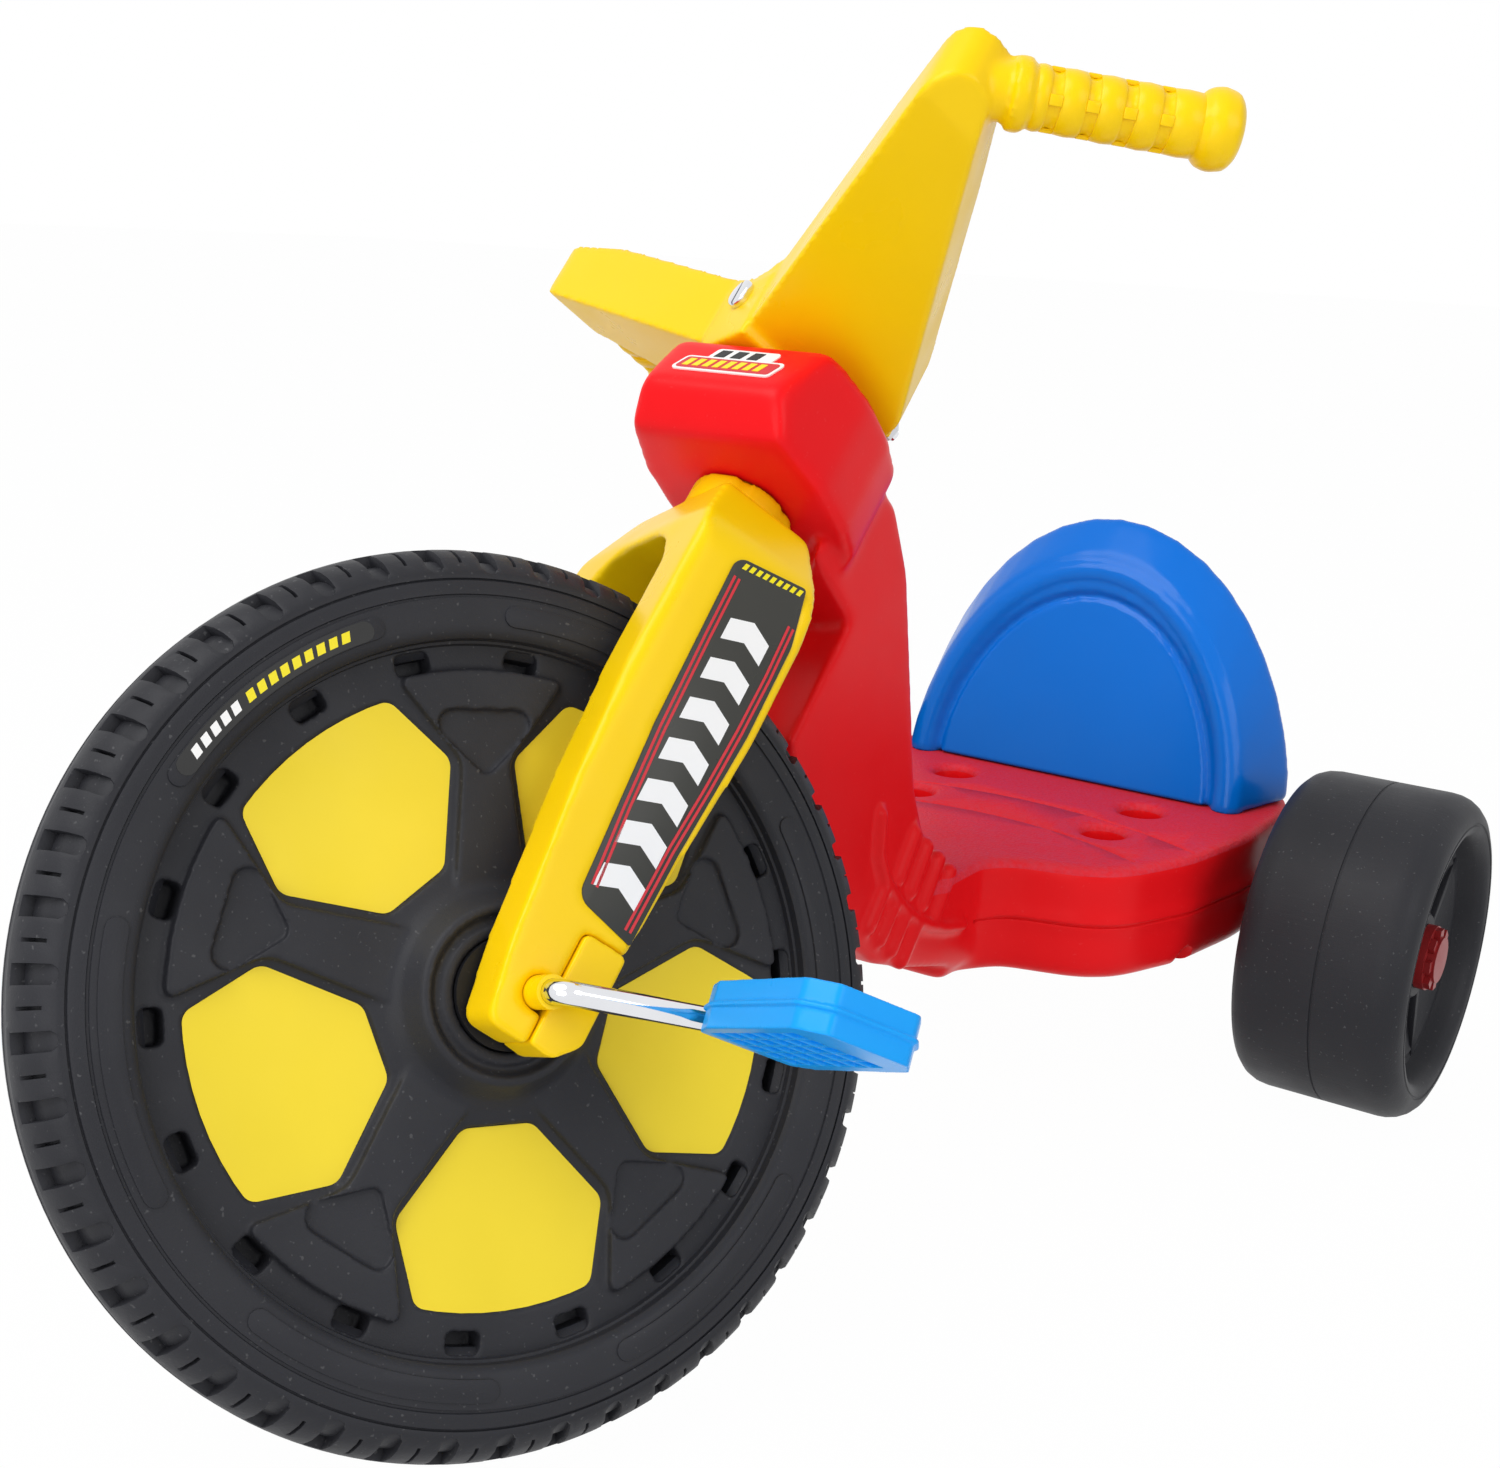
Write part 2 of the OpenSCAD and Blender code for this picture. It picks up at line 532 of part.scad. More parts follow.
module steer_axis() {
    translate([0, axle_lead * cos(rake), -axle_lead * sin(rake)]) rotate([-rake, 0, 0]) children();
}
module room(grow) {
    sphere(r = wheel_room + grow);
    steer_axis() {
        translate([0, 0, -150]) cylinder(r = fork_room + grow, h = crown_top + 4 + 150 + grow);
        cylinder(r = collar_r + 16 + grow, h = head_low + grow);
    }
}
module side_slab(half, outline) {
    rotate([90, 0, 90]) translate([0, 0, -half]) linear_extrude(2 * half) polygon(rounded(outline));
}
module pan_slab(low, high, d) {
    translate([0, 0, low]) linear_extrude(high - low) polygon(rounded(drawn_in(pan_outline, d)));
}
module body_outside() {
    difference() {
        union() {
            intersection() {
                side_slab(80, head_side);
                steer_axis() translate([0, 0, 180]) linear_extrude(200) polygon(rounded(head_plan));
            }
            side_slab(neck_half, neck_side);
        }
        room(0);
    }
    pan_slab(pan_low + 9, pan_z - 3, 0.8);
    pan_slab(pan_z - 4, pan_z - 1.2, 1.8);
    pan_slab(pan_z - 2, pan_z, 4);
    pan_slab(bead_z - 4, bead_z + 4, -1.2);
    pan_slab(pan_low + 5, pan_low + 10, 2.5);
    pan_slab(pan_low + 2, pan_low + 6, 5);
    pan_slab(pan_low, pan_low + 3, 9);
}
module body_inside(d) {
    difference() {
        union() {
            intersection() {
                side_slab(80, drawn_in(head_side, -d));
                steer_axis() translate([0, 0, 180]) linear_extrude(200) polygon(rounded(drawn_in(head_plan, d)));
            }
            side_slab(neck_half - d, drawn_in(neck_side, -d));
        }
        room(d);
        steer_axis() translate([0, 0, head_low - 60]) cylinder(r = stem_r + run + d, h = 140);
        // Keeps the wall of the head under the handlebar's hub
        steer_axis() translate([0, 0, head_flat - d]) cylinder(r = turn_room + d, h = 40);
    }
    pan_slab(pan_low + d + 6, pan_z - d, d + 3);
}
module cup(y, grow, low) {
    each_side() translate([peg_gauge / 2, y, low]) cylinder(r = peg_hole_r + grow, h = pan_z - low - 1);
}
module body_shell() {
    color(red) trike() difference() {
        union() {
            difference() {
                body_outside();
                body_inside(body_wall);
            }
            for (y = rows) cup(y, body_wall, pan_z - peg_deep - body_wall);
            translate([-pan_half + 6, wheelbase, -rear_drop]) rotate([0, 90, 0]) cylinder(r = axle_r + 6, h = pan_w - 12);
            // Bellows ribs in two rows, in the crease between the neck and the pan
            each_side() for (i = [0:3]) translate([neck_half - 2, 330 + 15.5 * i, 3 - 12 * i]) rotate([-34, 0, 0])
                translate([0, 0, -27]) cylinder(r = 5, h = 27);
            each_side() for (i = [0:3]) translate([neck_half - 2, 300 + 13.5 * i, -21 - 10.5 * i]) rotate([-40, 0, 0])
                translate([0, 0, -22]) cylinder(r = 5, h = 22);
        }
        for (y = rows) {
            cup(y, 0, pan_z - peg_deep);
            each_side() translate([peg_gauge / 2, y, pan_z - 2]) cylinder(r1 = peg_hole_r, r2 = peg_hole_r + 4, h = 4.01);
        }
        translate([-pan_half - 5, wheelbase, -rear_drop]) rotate([0, 90, 0]) cylinder(r = axle_r + run, h = pan_w + 10);
        steer_axis() {
            translate([0, 0, head_low - 30]) cylinder(r = stem_r + run, h = 130);
            translate([0, 0, head_flat]) cylinder(r = turn_room, h = 40);
        }
        room(0);
    }
}

// Seat back, lifted out of its peg holes to move it to another row
seat_front = seat_row - 34;
seat_rear = seat_front + seat_d + 4;
seat_wall = 3;
dish_deep = 5;
module arch(half, high) {
    polygon([for (a = [0:9:180]) [half * cos(a), high * pow(sin(a), 1.15)]]);
}
module seat_block(d, dish) {
    hull() {
        translate([0, seat_rear - d, pan_z + 0.2 + d]) rotate([90, 0, 0]) linear_extrude(6 - d)
            arch(seat_w / 2 - d, seat_h - 3 * d);
        translate([0, seat_front + 8 + dish, pan_z + 0.2 + d]) rotate([78, 0, 0]) linear_extrude(4)
            arch(seat_w / 2 - 16 - d, seat_h - 20 - 2 * d);
    }
}
module seat_back() {
    color(blue) trike() {
        difference() {
            seat_block(0, 0);
            seat_block(seat_wall, seat_wall + dish_deep);
            // Dished panel in the middle of the front
            translate([0, seat_front + 4 + dish_deep, pan_z - 1]) rotate([78, 0, 0]) linear_extrude(60)
                arch(seat_w / 2 - 34, seat_h - 46);
        }
        each_side() translate([peg_gauge / 2, seat_row, pan_z - peg_deep + 3]) cylinder(r = peg_r, h = peg_deep + 3);
    }
}

// Rear wheels, axle and caps
boss_in = pan_half + 3;
boss_out = cap_w / 2 - 12;
rear_bush_r = 12;
rear_out = rear_in + rear_w;
rear_outline = rounded([[rear_bush_r, boss_in, 0], [22, boss_in, 1], [25, rear_in + 12, 3], [80, rear_in + 14, 3],
    [86, rear_in + 2, 3], [97, rear_in, 6], [rear_r - 1.5, rear_in + 6, 6], [rear_r, rear_in + 14, 3],
    [rear_r, rear_out - 17, 10], [rear_r - 4, rear_out - 8, 10], [97, rear_out - 1, 8], [88, rear_out, 4],
    [80, rear_out - 3, 3], [74, rear_out - 16, 4], [36, rear_out - 24, 4], [27, boss_out, 2], [rear_bush_r, boss_out, 0]], 4);
rear_inside = rounded([[rear_bush_r + 6, boss_in + 8, 2], [27, rear_in + 16, 3], [83, rear_in + 18, 3],
    [90, rear_in + 6, 3], [98, rear_in + 5, 4], [rear_r - 4, rear_in + 10, 4], [rear_r - 4, rear_out - 15, 4],
    [rear_r - 8, rear_out - 10, 6], [94, rear_out - 5, 4], [84, rear_out - 6, 2], [78, rear_out - 20, 3],
    [31, rear_out - 29, 3], [rear_bush_r + 9.5, boss_out - 10, 2], [rear_bush_r + 5, boss_out - 10, 2]], 4);
module rear_wheel(s) {
    color(black) trike() translate([0, wheelbase, -rear_drop]) side_of(s) rotate([0, 90, 0]) difference() {
        rotate_extrude() polygon(rear_outline);
        rotate_extrude() polygon(rear_inside);
    }
}
module rear_bush(s) {
    color(black) trike() translate([0, wheelbase, -rear_drop]) side_of(s) rotate([0, 90, 0]) difference() {
        translate([0, 0, boss_in + 0.5]) cylinder(r = rear_bush_r - run, h = boss_out - boss_in - 1);
        translate([0, 0, boss_in]) cylinder(r = axle_r + run, h = boss_out - boss_in + 1);
    }
}
module rear_axle() {
    color(steel) trike() translate([-cap_w / 2 + 3, wheelbase, -rear_drop]) rotate([0, 90, 0])
        cylinder(r = axle_r, h = cap_w - 6);
}
module axle_cap(s) {
    color(red) trike() translate([0, wheelbase, -rear_drop]) side_of(s) rotate([0, 90, 0]) difference() {
        union() {
            translate([0, 0, boss_out + air]) cylinder(r = 15, h = cap_w / 2 - boss_out - air);
            translate([0, 0, boss_out + air]) cylinder(r = 21, h = 6);
            for (a = [0:45:315]) rotate([0, 0, a]) translate([14, -3.5, boss_out + air]) cube([6, 7, 10]);
        }
        translate([0, 0, boss_out]) cylinder(r = axle_r + run / 2, h = cap_w / 2 - 3 - boss_out);
    }
}

body_shell();
rear_axle();
axle_cap(1);  // axle_cap_left
axle_cap(-1);  // axle_cap_right
seat_back();
fork();
keeper(1);  // keeper_left
keeper(-1);  // keeper_right
crank_sleeve(1);  // crank_sleeve_left
crank_sleeve(-1);  // crank_sleeve_right
side_panel(1);  // side_panel_left
side_panel(-1);  // side_panel_right
handlebar();
bar_bolt();
bar_nut();
front_wheel();
disc_panels(1);  // disc_panels_left
disc_panels(-1);  // disc_panels_right
hub_bush(1);  // hub_bush_left
hub_bush(-1);  // hub_bush_right
crank();
pin_cap(1);  // pin_cap_left
pin_cap(-1);  // pin_cap_right
pedal(1);  // pedal_left
pedal(-1);  // pedal_right
rear_wheel(1);  // rear_wheel_left
rear_wheel(-1);  // rear_wheel_right
rear_bush(1);  // rear_bush_left
rear_bush(-1);  // rear_bush_right
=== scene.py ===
import json
import math

import bpy
from bpy.props import FloatProperty, FloatVectorProperty, IntProperty, PointerProperty
from mathutils import Matrix, Vector


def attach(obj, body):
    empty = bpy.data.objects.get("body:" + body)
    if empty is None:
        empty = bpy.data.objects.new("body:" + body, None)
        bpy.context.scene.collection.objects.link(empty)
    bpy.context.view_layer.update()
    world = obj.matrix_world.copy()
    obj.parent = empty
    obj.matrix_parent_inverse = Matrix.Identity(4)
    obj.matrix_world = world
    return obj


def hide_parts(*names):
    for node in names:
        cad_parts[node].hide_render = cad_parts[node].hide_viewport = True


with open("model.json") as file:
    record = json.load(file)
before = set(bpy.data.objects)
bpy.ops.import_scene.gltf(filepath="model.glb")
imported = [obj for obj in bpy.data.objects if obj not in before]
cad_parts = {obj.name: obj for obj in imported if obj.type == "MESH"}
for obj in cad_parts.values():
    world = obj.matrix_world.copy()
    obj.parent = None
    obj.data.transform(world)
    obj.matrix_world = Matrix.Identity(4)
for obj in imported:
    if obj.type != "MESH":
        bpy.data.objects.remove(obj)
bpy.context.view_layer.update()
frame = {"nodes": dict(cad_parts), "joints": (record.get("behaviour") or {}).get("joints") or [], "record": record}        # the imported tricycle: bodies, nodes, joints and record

bl_info = {
    "name": "Low rider tricycle",
    "version": (1, 0, 0),
    "blender": (4, 5, 0),
    "location": "3D View > Sidebar > Tricycle",
    "description": "Moulded skins, finishes and a photo stage for a low rider tricycle",
    "category": "Object",
}

MM = 0.001
TAU = 2 * math.pi

# Sizes that the skins share with the frame, in millimetres, and angles in degrees

WHEELBASE = 610
REAR_DROP = 97          # how far the rear axle lies below the front one

# Front wheel; X is the distance of a face from the wheel's middle
BUSH_R = 25
HUB_HALF = 40
WALL_X = 32             # side wall of the tyre
DISC_HALF = 20          # disc that carries the yellow panels
WEB_X = 21.6            # face of the spoked web
WEB_CLEAR = WEB_X + 9   # outside all that stands on the web
PANEL_R = 138
SPOKES = 5
HALF_PITCH = 180 / SPOKES
PHASE = 32.6            # where the first window lies round the wheel
VENTS = 18
VENT_PHASE = 4.8
VENT_R = 150
BLOCKS = 46             # tread blocks on each shoulder
TREAD_STEPS = 184       # four steps of the lathe for each block
PAD_COUNT = 6           # arc-shaped pads on a side wall
PAD_PHASE = 9.4
PAD_R = 168.4

# Fork and handlebar
LEG_HALF = 72           # outer face of a fork leg
AXLE_LEAD = 4           # how far the steering axis lies behind the front axle
BAR_TURN = 5
BOLT_Z = 376
LUG_FRONT = 55
LUG_REAR = 50
GRIP_BASE = (175, -61, 429)
GRIP_WAY = (44, 72, 27)
GRIP_R = 13
GROOVE = 16.6           # pitch of the grip's grooves
LANDS = 5               # swellings between them

# Body and seat
PAN_Z = -36             # top of the seat pan
PAN_HALF = 150
PAN_MIDDLE = 552
DECK_START = 360        # where the stippled deck begins, behind the front wheel's middle
NECK_HALF = 40
HEAD_FACET = (0, 183.5, 272.5)
HEAD_SLOPE = math.atan2(17, 39)
SEAT_FRONT = 630
SEAT_LEAN = 78
PEG_ROWS = (534, 595, 656)
PEG_X = 71

# Rear wheels
REAR_RIBS = 6

# The photograph's frame, in pixels, and the sensor that stands for its width
FRAME_WIDTH = 1500
FRAME_HEIGHT = 1468
SENSOR = 36


# Frames of the object, worked out from the joints


def joint(name):
    return [j for j in frame["joints"] if j["name"] == name][0]


def frame_matrix(origin, x, y, z):
    columns = (Vector(x).normalized(), Vector(y).normalized(), Vector(z).normalized())
    return Matrix.Translation(Vector(origin)) @ Matrix(columns).transposed().to_4x4()


SPIN = joint("wheel_spin")
LEFTWARD = Vector(SPIN["axis"])
STEER_UP = Vector(joint("steering")["axis"])
BACKWARD = STEER_UP.cross(LEFTWARD)
WHEEL_CENTRE = Vector(SPIN["pos_m"])
# Z along the front axle to the left, X down the steering axis
WHEEL = frame_matrix(WHEEL_CENTRE, -STEER_UP, BACKWARD, LEFTWARD)
# X along the front axle to the left, Z up the steering axis, as the fork stands
STEERED = frame_matrix(WHEEL_CENTRE + BACKWARD * AXLE_LEAD * MM, LEFTWARD, BACKWARD, STEER_UP)
BAR = STEERED @ Matrix.Rotation(math.radians(BAR_TURN), 4, "Z")
UPWARD = Vector(joint("seat_lift")["axis"])
REAR = (Vector(joint("rear_left_spin")["pos_m"]) + Vector(joint("rear_right_spin")["pos_m"])) / 2
AFT = Vector((1, 0, 0)).cross(-UPWARD)
# The body's own frame: Y backwards along the deck, Z square to it
TRIKE = frame_matrix(REAR - AFT * WHEELBASE * MM + UPWARD * REAR_DROP * MM, (1, 0, 0), AFT, UPWARD)
# The side of the fork laid flat: X backwards, Y up the steering axis, Z to the left
SIDE = frame_matrix(WHEEL_CENTRE, BACKWARD, STEER_UP, LEFTWARD)
# The seat back's leaning front, Y up it and Z out of it
SEAT_FACE = (TRIKE @ Matrix.Translation(Vector((0, SEAT_FRONT, PAN_Z)) * MM)
             @ Matrix.Rotation(math.radians(SEAT_LEAN), 4, "X"))
# The sloping facet on top of the head, Y up the slope and Z out of it
HEAD_TOP = TRIKE @ Matrix.Translation(Vector(HEAD_FACET) * MM) @ Matrix.Rotation(HEAD_SLOPE, 4, "X")
# Z along the rear axle to the left
REAR_AXLE = (TRIKE @ Matrix.Translation(Vector((0, WHEELBASE, -REAR_DROP)) * MM)
             @ Matrix.Rotation(math.pi / 2, 4, "Y"))
# Z along the left grip
GRIP_AXIS = Vector(GRIP_WAY).normalized()
GRIP = (BAR @ Matrix.Translation(Vector(GRIP_BASE) * MM)
        @ Matrix.Rotation(math.atan2(GRIP_AXIS.y, GRIP_AXIS.x), 4, "Z")
        @ Matrix.Rotation(math.acos(GRIP_AXIS.z), 4, "Y"))
MIRROR = Matrix.Scale(-1, 4, (1, 0, 0))
FLIP = Matrix.Scale(-1, 4, (0, 0, 1))


# Tools for shaping


def deselect():
    if bpy.context.mode != "OBJECT":
        bpy.ops.object.mode_set(mode="OBJECT")
    bpy.ops.object.select_all(action="DESELECT")


def take(obj):
    deselect()
    obj.hide_viewport = False
    obj.select_set(True)
    bpy.context.view_layer.objects.active = obj
    return obj


def edit(obj, action):
    """Runs action on all of obj in edit mode."""
    take(obj)
    bpy.ops.object.mode_set(mode="EDIT")
    bpy.ops.mesh.select_all(action="SELECT")
    action()
    bpy.ops.object.mode_set(mode="OBJECT")
    return obj


def tidy(obj, distance=0.00002):
    def action():
        bpy.ops.mesh.remove_doubles(threshold=distance)
        bpy.ops.mesh.normals_make_consistent(inside=False)
    return edit(obj, action)


def placed(obj, matrix):
    """Puts obj, made in millimetres in one of the object's own frames, where it belongs."""
    obj.data.transform(matrix @ Matrix.Scale(MM, 4))
    obj.data.update()
    return tidy(obj)


def named(name):
    """The object that was just added, under that name."""
    obj = bpy.context.object
    obj.name = name
    obj.data.name = name
    return obj


def loop_of(name, points, fill):
    """A closed outline: a circle primitive whose points are moved to where they belong."""
    deselect()
    kind = "NGON" if fill else "NOTHING"
    bpy.ops.mesh.primitive_circle_add(vertices=len(points), radius=1, fill_type=kind)
    obj = named(name)
    for vertex, point in zip(obj.data.vertices, points):
        vertex.co = Vector(point)
    return obj


def turned(name, profile, steps, matrix):
    """A closed profile of (radius, height) spun round Z."""
    obj = loop_of(name, [(r, 0, z) for r, z in profile], False)
    edit(obj, lambda: bpy.ops.mesh.spin(steps=steps, angle=TAU, center=(0, 0, 0), axis=(0, 0, 1)))
    return placed(obj, matrix)


def plate(name, outline, low, high, matrix, bevel=0.0):
    """A flat plate with that outline between two heights, its edges rounded."""
    obj = loop_of(name, [(x, y, low) for x, y in outline], True)
    move = {"value": (0, 0, high - low)}
    edit(obj, lambda: bpy.ops.mesh.extrude_region_move(TRANSFORM_OT_translate=move))
    if bevel:
        soften(obj, bevel, 2, 40)
    return placed(obj, matrix)


def block(name, centre, size, matrix, bevel=0.0):
    deselect()
    bpy.ops.mesh.primitive_cube_add(size=1, location=(0, 0, 0))
    obj = named(name)
    obj.data.transform(Matrix.Translation(Vector(centre)) @ Matrix.Diagonal((*size, 1)))
    if bevel:
        soften(obj, bevel, 2, 40)
    return placed(obj, matrix)


def rod(name, start, end, radius, matrix, sides=32):
    """A round rod between two points, to be shaped or fused further."""
    deselect()
    start, end = Vector(start), Vector(end)
    length = (end - start).length
    bpy.ops.mesh.primitive_cone_add(vertices=sides, radius1=radius, radius2=radius, depth=length)
    obj = named(name)
    turn = (end - start).to_track_quat("Z", "Y").to_matrix().to_4x4()
    obj.data.transform(Matrix.Translation((start + end) / 2) @ turn)
    return placed(obj, matrix)


def ball(name, centre, size, matrix):
    deselect()
    bpy.ops.mesh.primitive_uv_sphere_add(segments=40, ring_count=24, radius=1)
    obj = named(name)
    obj.data.transform(Matrix.Translation(Vector(centre)) @ Matrix.Diagonal((*size, 1)))
    return placed(obj, matrix)


def apply(obj, kind, **settings):
    take(obj)
    mod = obj.modifiers.new(kind.lower(), kind)
    for key, value in settings.items():
        setattr(mod, key, value)
    bpy.ops.object.modifier_apply(modifier=mod.name)
    return obj


def soften(obj, width, segments=3, angle=30):
    return apply(obj, "BEVEL", width=width, segments=segments, limit_method="ANGLE",
                 angle_limit=math.radians(angle))


def cut(obj, *cutters):
    for cutter in cutters:
        apply(obj, "BOOLEAN", operation="DIFFERENCE", solver="EXACT", object=cutter)
        bpy.data.objects.remove(cutter)
    return obj


def joined(name, parts):
    deselect()
    for part in parts:
        part.select_set(True)
    bpy.context.view_layer.objects.active = parts[0]
    if len(parts) > 1:
        bpy.ops.object.join()
    parts[0].name = name
    parts[0].data.name = name
    return parts[0]


def fused(obj, voxel, passes=4, factor=0.5, keep=1.0):
    """One moulded skin over all the closed shapes in obj, its edges rounded."""
    apply(obj, "REMESH", mode="VOXEL", voxel_size=voxel * MM, adaptivity=0.0)
    if passes:
        apply(obj, "SMOOTH", factor=factor, iterations=passes)
    if keep < 1:
        apply(obj, "DECIMATE", ratio=keep)
    return smooth(obj)


def smooth(obj, angle=None):
    take(obj)
    if angle is None:
        bpy.ops.object.shade_smooth()
    else:
        bpy.ops.object.shade_smooth_by_angle(angle=math.radians(angle))
    return obj


def outer_copy(node, name):
    """A merged copy of a CAD node's outer surface, without the hollow inside it."""
    source = frame["nodes"][node]
    deselect()
    source.select_set(True)
    bpy.context.view_layer.objects.active = source
    bpy.ops.object.duplicate()
    obj = bpy.context.object
    obj.parent = None
    for key in list(obj.keys()):
        del obj[key]
    edit(obj, lambda: bpy.ops.mesh.remove_doubles(threshold=0.00001))
    edit(obj, lambda: bpy.ops.mesh.separate(type="LOOSE"))
    parts = list(bpy.context.selected_objects)
    parts.sort(key=lambda part: part.dimensions.length, reverse=True)
    for part in parts[1:]:
        bpy.data.objects.remove(part)
    parts[0].name = name
    parts[0].data.name = name
    return parts[0]


def repeated(name, part, matrices):
    """Copies of part, each with its own mesh, joined into one object."""
    copies = []
    for matrix in matrices:
        copy = part.copy()
        copy.data = part.data.copy()
        bpy.context.scene.collection.objects.link(copy)
        copy.data.transform(matrix)
        if matrix.determinant() < 0:
            copy.data.flip_normals()
        copies.append(copy)
    bpy.data.objects.remove(part)
    return joined(name, copies)


def both_sides(obj, frame_at=None):
    """obj and its mirror image across the frame's YZ plane."""
    mirror = MIRROR if frame_at is None else frame_at @ MIRROR @ frame_at.inverted()
    return repeated(obj.name, obj, [Matrix.Identity(4), mirror])


def bead(name, points, radius, matrix, sides=20):
    """Rods and balls along a line, to be fused into a skin or cut from it."""
    parts = [rod(name, a, b, radius, matrix, sides) for a, b in zip(points, points[1:])]
    parts += [ball(name, point, (radius,) * 3, matrix) for point in points]
    return joined(name, parts)


def around(frame_at, angles, flip=False):
    """Turns about a frame's Z, for copies of what was made in that frame."""
    back = frame_at.inverted()
    side = FLIP if flip else Matrix.Identity(4)
    return [frame_at @ side @ Matrix.Rotation(math.radians(a), 4, "Z") @ back for a in angles]


def polar(radius, angle):
    return (radius * math.cos(math.radians(angle)), radius * math.sin(math.radians(angle)))


def arc(radius, start, end, steps):
    return [polar(radius, start + (end - start) * i / steps) for i in range(steps + 1)]


# A corner flatter than this stays as it is, and an arc takes at most this share of each side
NEARLY_STRAIGHT = math.radians(176)
CORNER_SHARE = 0.48


def rounded(points, radius, steps=5):
    """The outline with each corner replaced by an arc; radius is one value or one per corner."""
    result = []
    count = len(points)
    for i, point in enumerate(points):
        r = radius[i] if isinstance(radius, (list, tuple)) else radius
        here = Vector(point)
        before, after = Vector(points[i - 1]), Vector(points[(i + 1) % count])
        a, b = (before - here).normalized(), (after - here).normalized()
        angle = a.angle(b)
        if r <= 0 or angle > NEARLY_STRAIGHT:
            result.append(tuple(here))
            continue
        reach = min(r / math.tan(angle / 2), (before - here).length * CORNER_SHARE,
                    (after - here).length * CORNER_SHARE)
        r = reach * math.tan(angle / 2)
        centre = here + (a + b).normalized() * r / math.sin(angle / 2)
        first = here + a * reach - centre
        turn = math.pi - angle
        if a.x * b.y - a.y * b.x > 0:
            turn = -turn
        for k in range(steps + 1):
            t = turn * k / steps
            c, s = math.cos(t), math.sin(t)
            result.append((centre.x + first.x * c - first.y * s, centre.y + first.x * s + first.y * c))
    return result


def finish_piece(obj, body, slot, material, *nodes):
    obj.data.materials.clear()
    obj.data.materials.append(material)
    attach(obj, body)
    if nodes:
        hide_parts(*nodes)
    return obj


# Materials


class Nodes:
    """Short ways to add and link the nodes of one material."""

    def __init__(self, name):
        self.material = bpy.data.materials.new(name)
        self.material.use_nodes = True
        self.tree = self.material.node_tree
        self.tree.nodes.clear()
        self.shader = self.add("ShaderNodeBsdfPrincipled")
        self.output = self.add("ShaderNodeOutputMaterial")
        self.link(self.shader.outputs["BSDF"], self.output.inputs["Surface"])
        self.place = self.add("ShaderNodeTexCoord").outputs["Object"]

    def add(self, kind, **settings):
        node = self.tree.nodes.new(kind)
        for key, value in settings.items():
            setattr(node, key, value)
        return node

    def link(self, output, socket):
        self.tree.links.new(output, socket)

    def shade(self, output, name):
        self.link(output, self.shader.inputs[name])

    def shaded(self, name):
        """What feeds that socket of the shader now."""
        return self.shader.inputs[name].links[0].from_socket

    def noise(self, scale, detail, stretch=None):
        node = self.add("ShaderNodeTexNoise")
        node.inputs["Scale"].default_value = scale
        node.inputs["Detail"].default_value = detail
        place = self.place
        if stretch is not None:
            mapping = self.add("ShaderNodeMapping")
            mapping.inputs["Scale"].default_value = stretch
            self.link(place, mapping.inputs["Vector"])
            place = mapping.outputs["Vector"]
        self.link(place, node.inputs["Vector"])
        return node.outputs["Fac"]

    def ramp(self, value, stops):
        node = self.add("ShaderNodeValToRGB")
        for element, (position, colour) in zip(node.color_ramp.elements, (stops[0], stops[-1])):
            element.position = position
            element.color = colour
        for position, colour in stops[1:-1]:
            node.color_ramp.elements.new(position).color = colour
        self.link(value, node.inputs["Fac"])
        return node.outputs["Color"]

    def range(self, value, low, high):
        """Spreads the middle of a noise between two values."""
        node = self.add("ShaderNodeMapRange")
        numbers = {"From Min": 0.3, "From Max": 0.7, "To Min": low, "To Max": high}
        for key, number in numbers.items():
            node.inputs[key].default_value = number
        self.link(value, node.inputs["Value"])
        return node.outputs["Result"]

    def math(self, operation, a, b=None):
        node = self.add("ShaderNodeMath", operation=operation)
        for socket, value in zip(node.inputs, (a, b)):
            if isinstance(value, (int, float)):
                socket.default_value = value
            elif value is not None:
                self.link(value, socket)
        return node.outputs["Value"]

    def bump(self, height, strength, distance, normal=None):
        node = self.add("ShaderNodeBump")
        node.inputs["Strength"].default_value = strength
        node.inputs["Distance"].default_value = distance
        self.link(height, node.inputs["Height"])
        if normal is not None:
            self.link(normal, node.inputs["Normal"])
        return node.outputs["Normal"]

    def along(self, frame_at, axis):
        """The distance of a point along one axis of a frame, in metres."""
        direction = frame_at.to_3x3().col[axis].normalized()
        node = self.add("ShaderNodeVectorMath", operation="DOT_PRODUCT")
        self.link(self.place, node.inputs[0])
        node.inputs[1].default_value = direction
        return self.math("SUBTRACT", node.outputs["Value"], direction.dot(frame_at.translation))


def tint(colour, factor, lift=0.0):
    return tuple(min(1.0, c * factor + lift) for c in colour[:3]) + (1.0,)


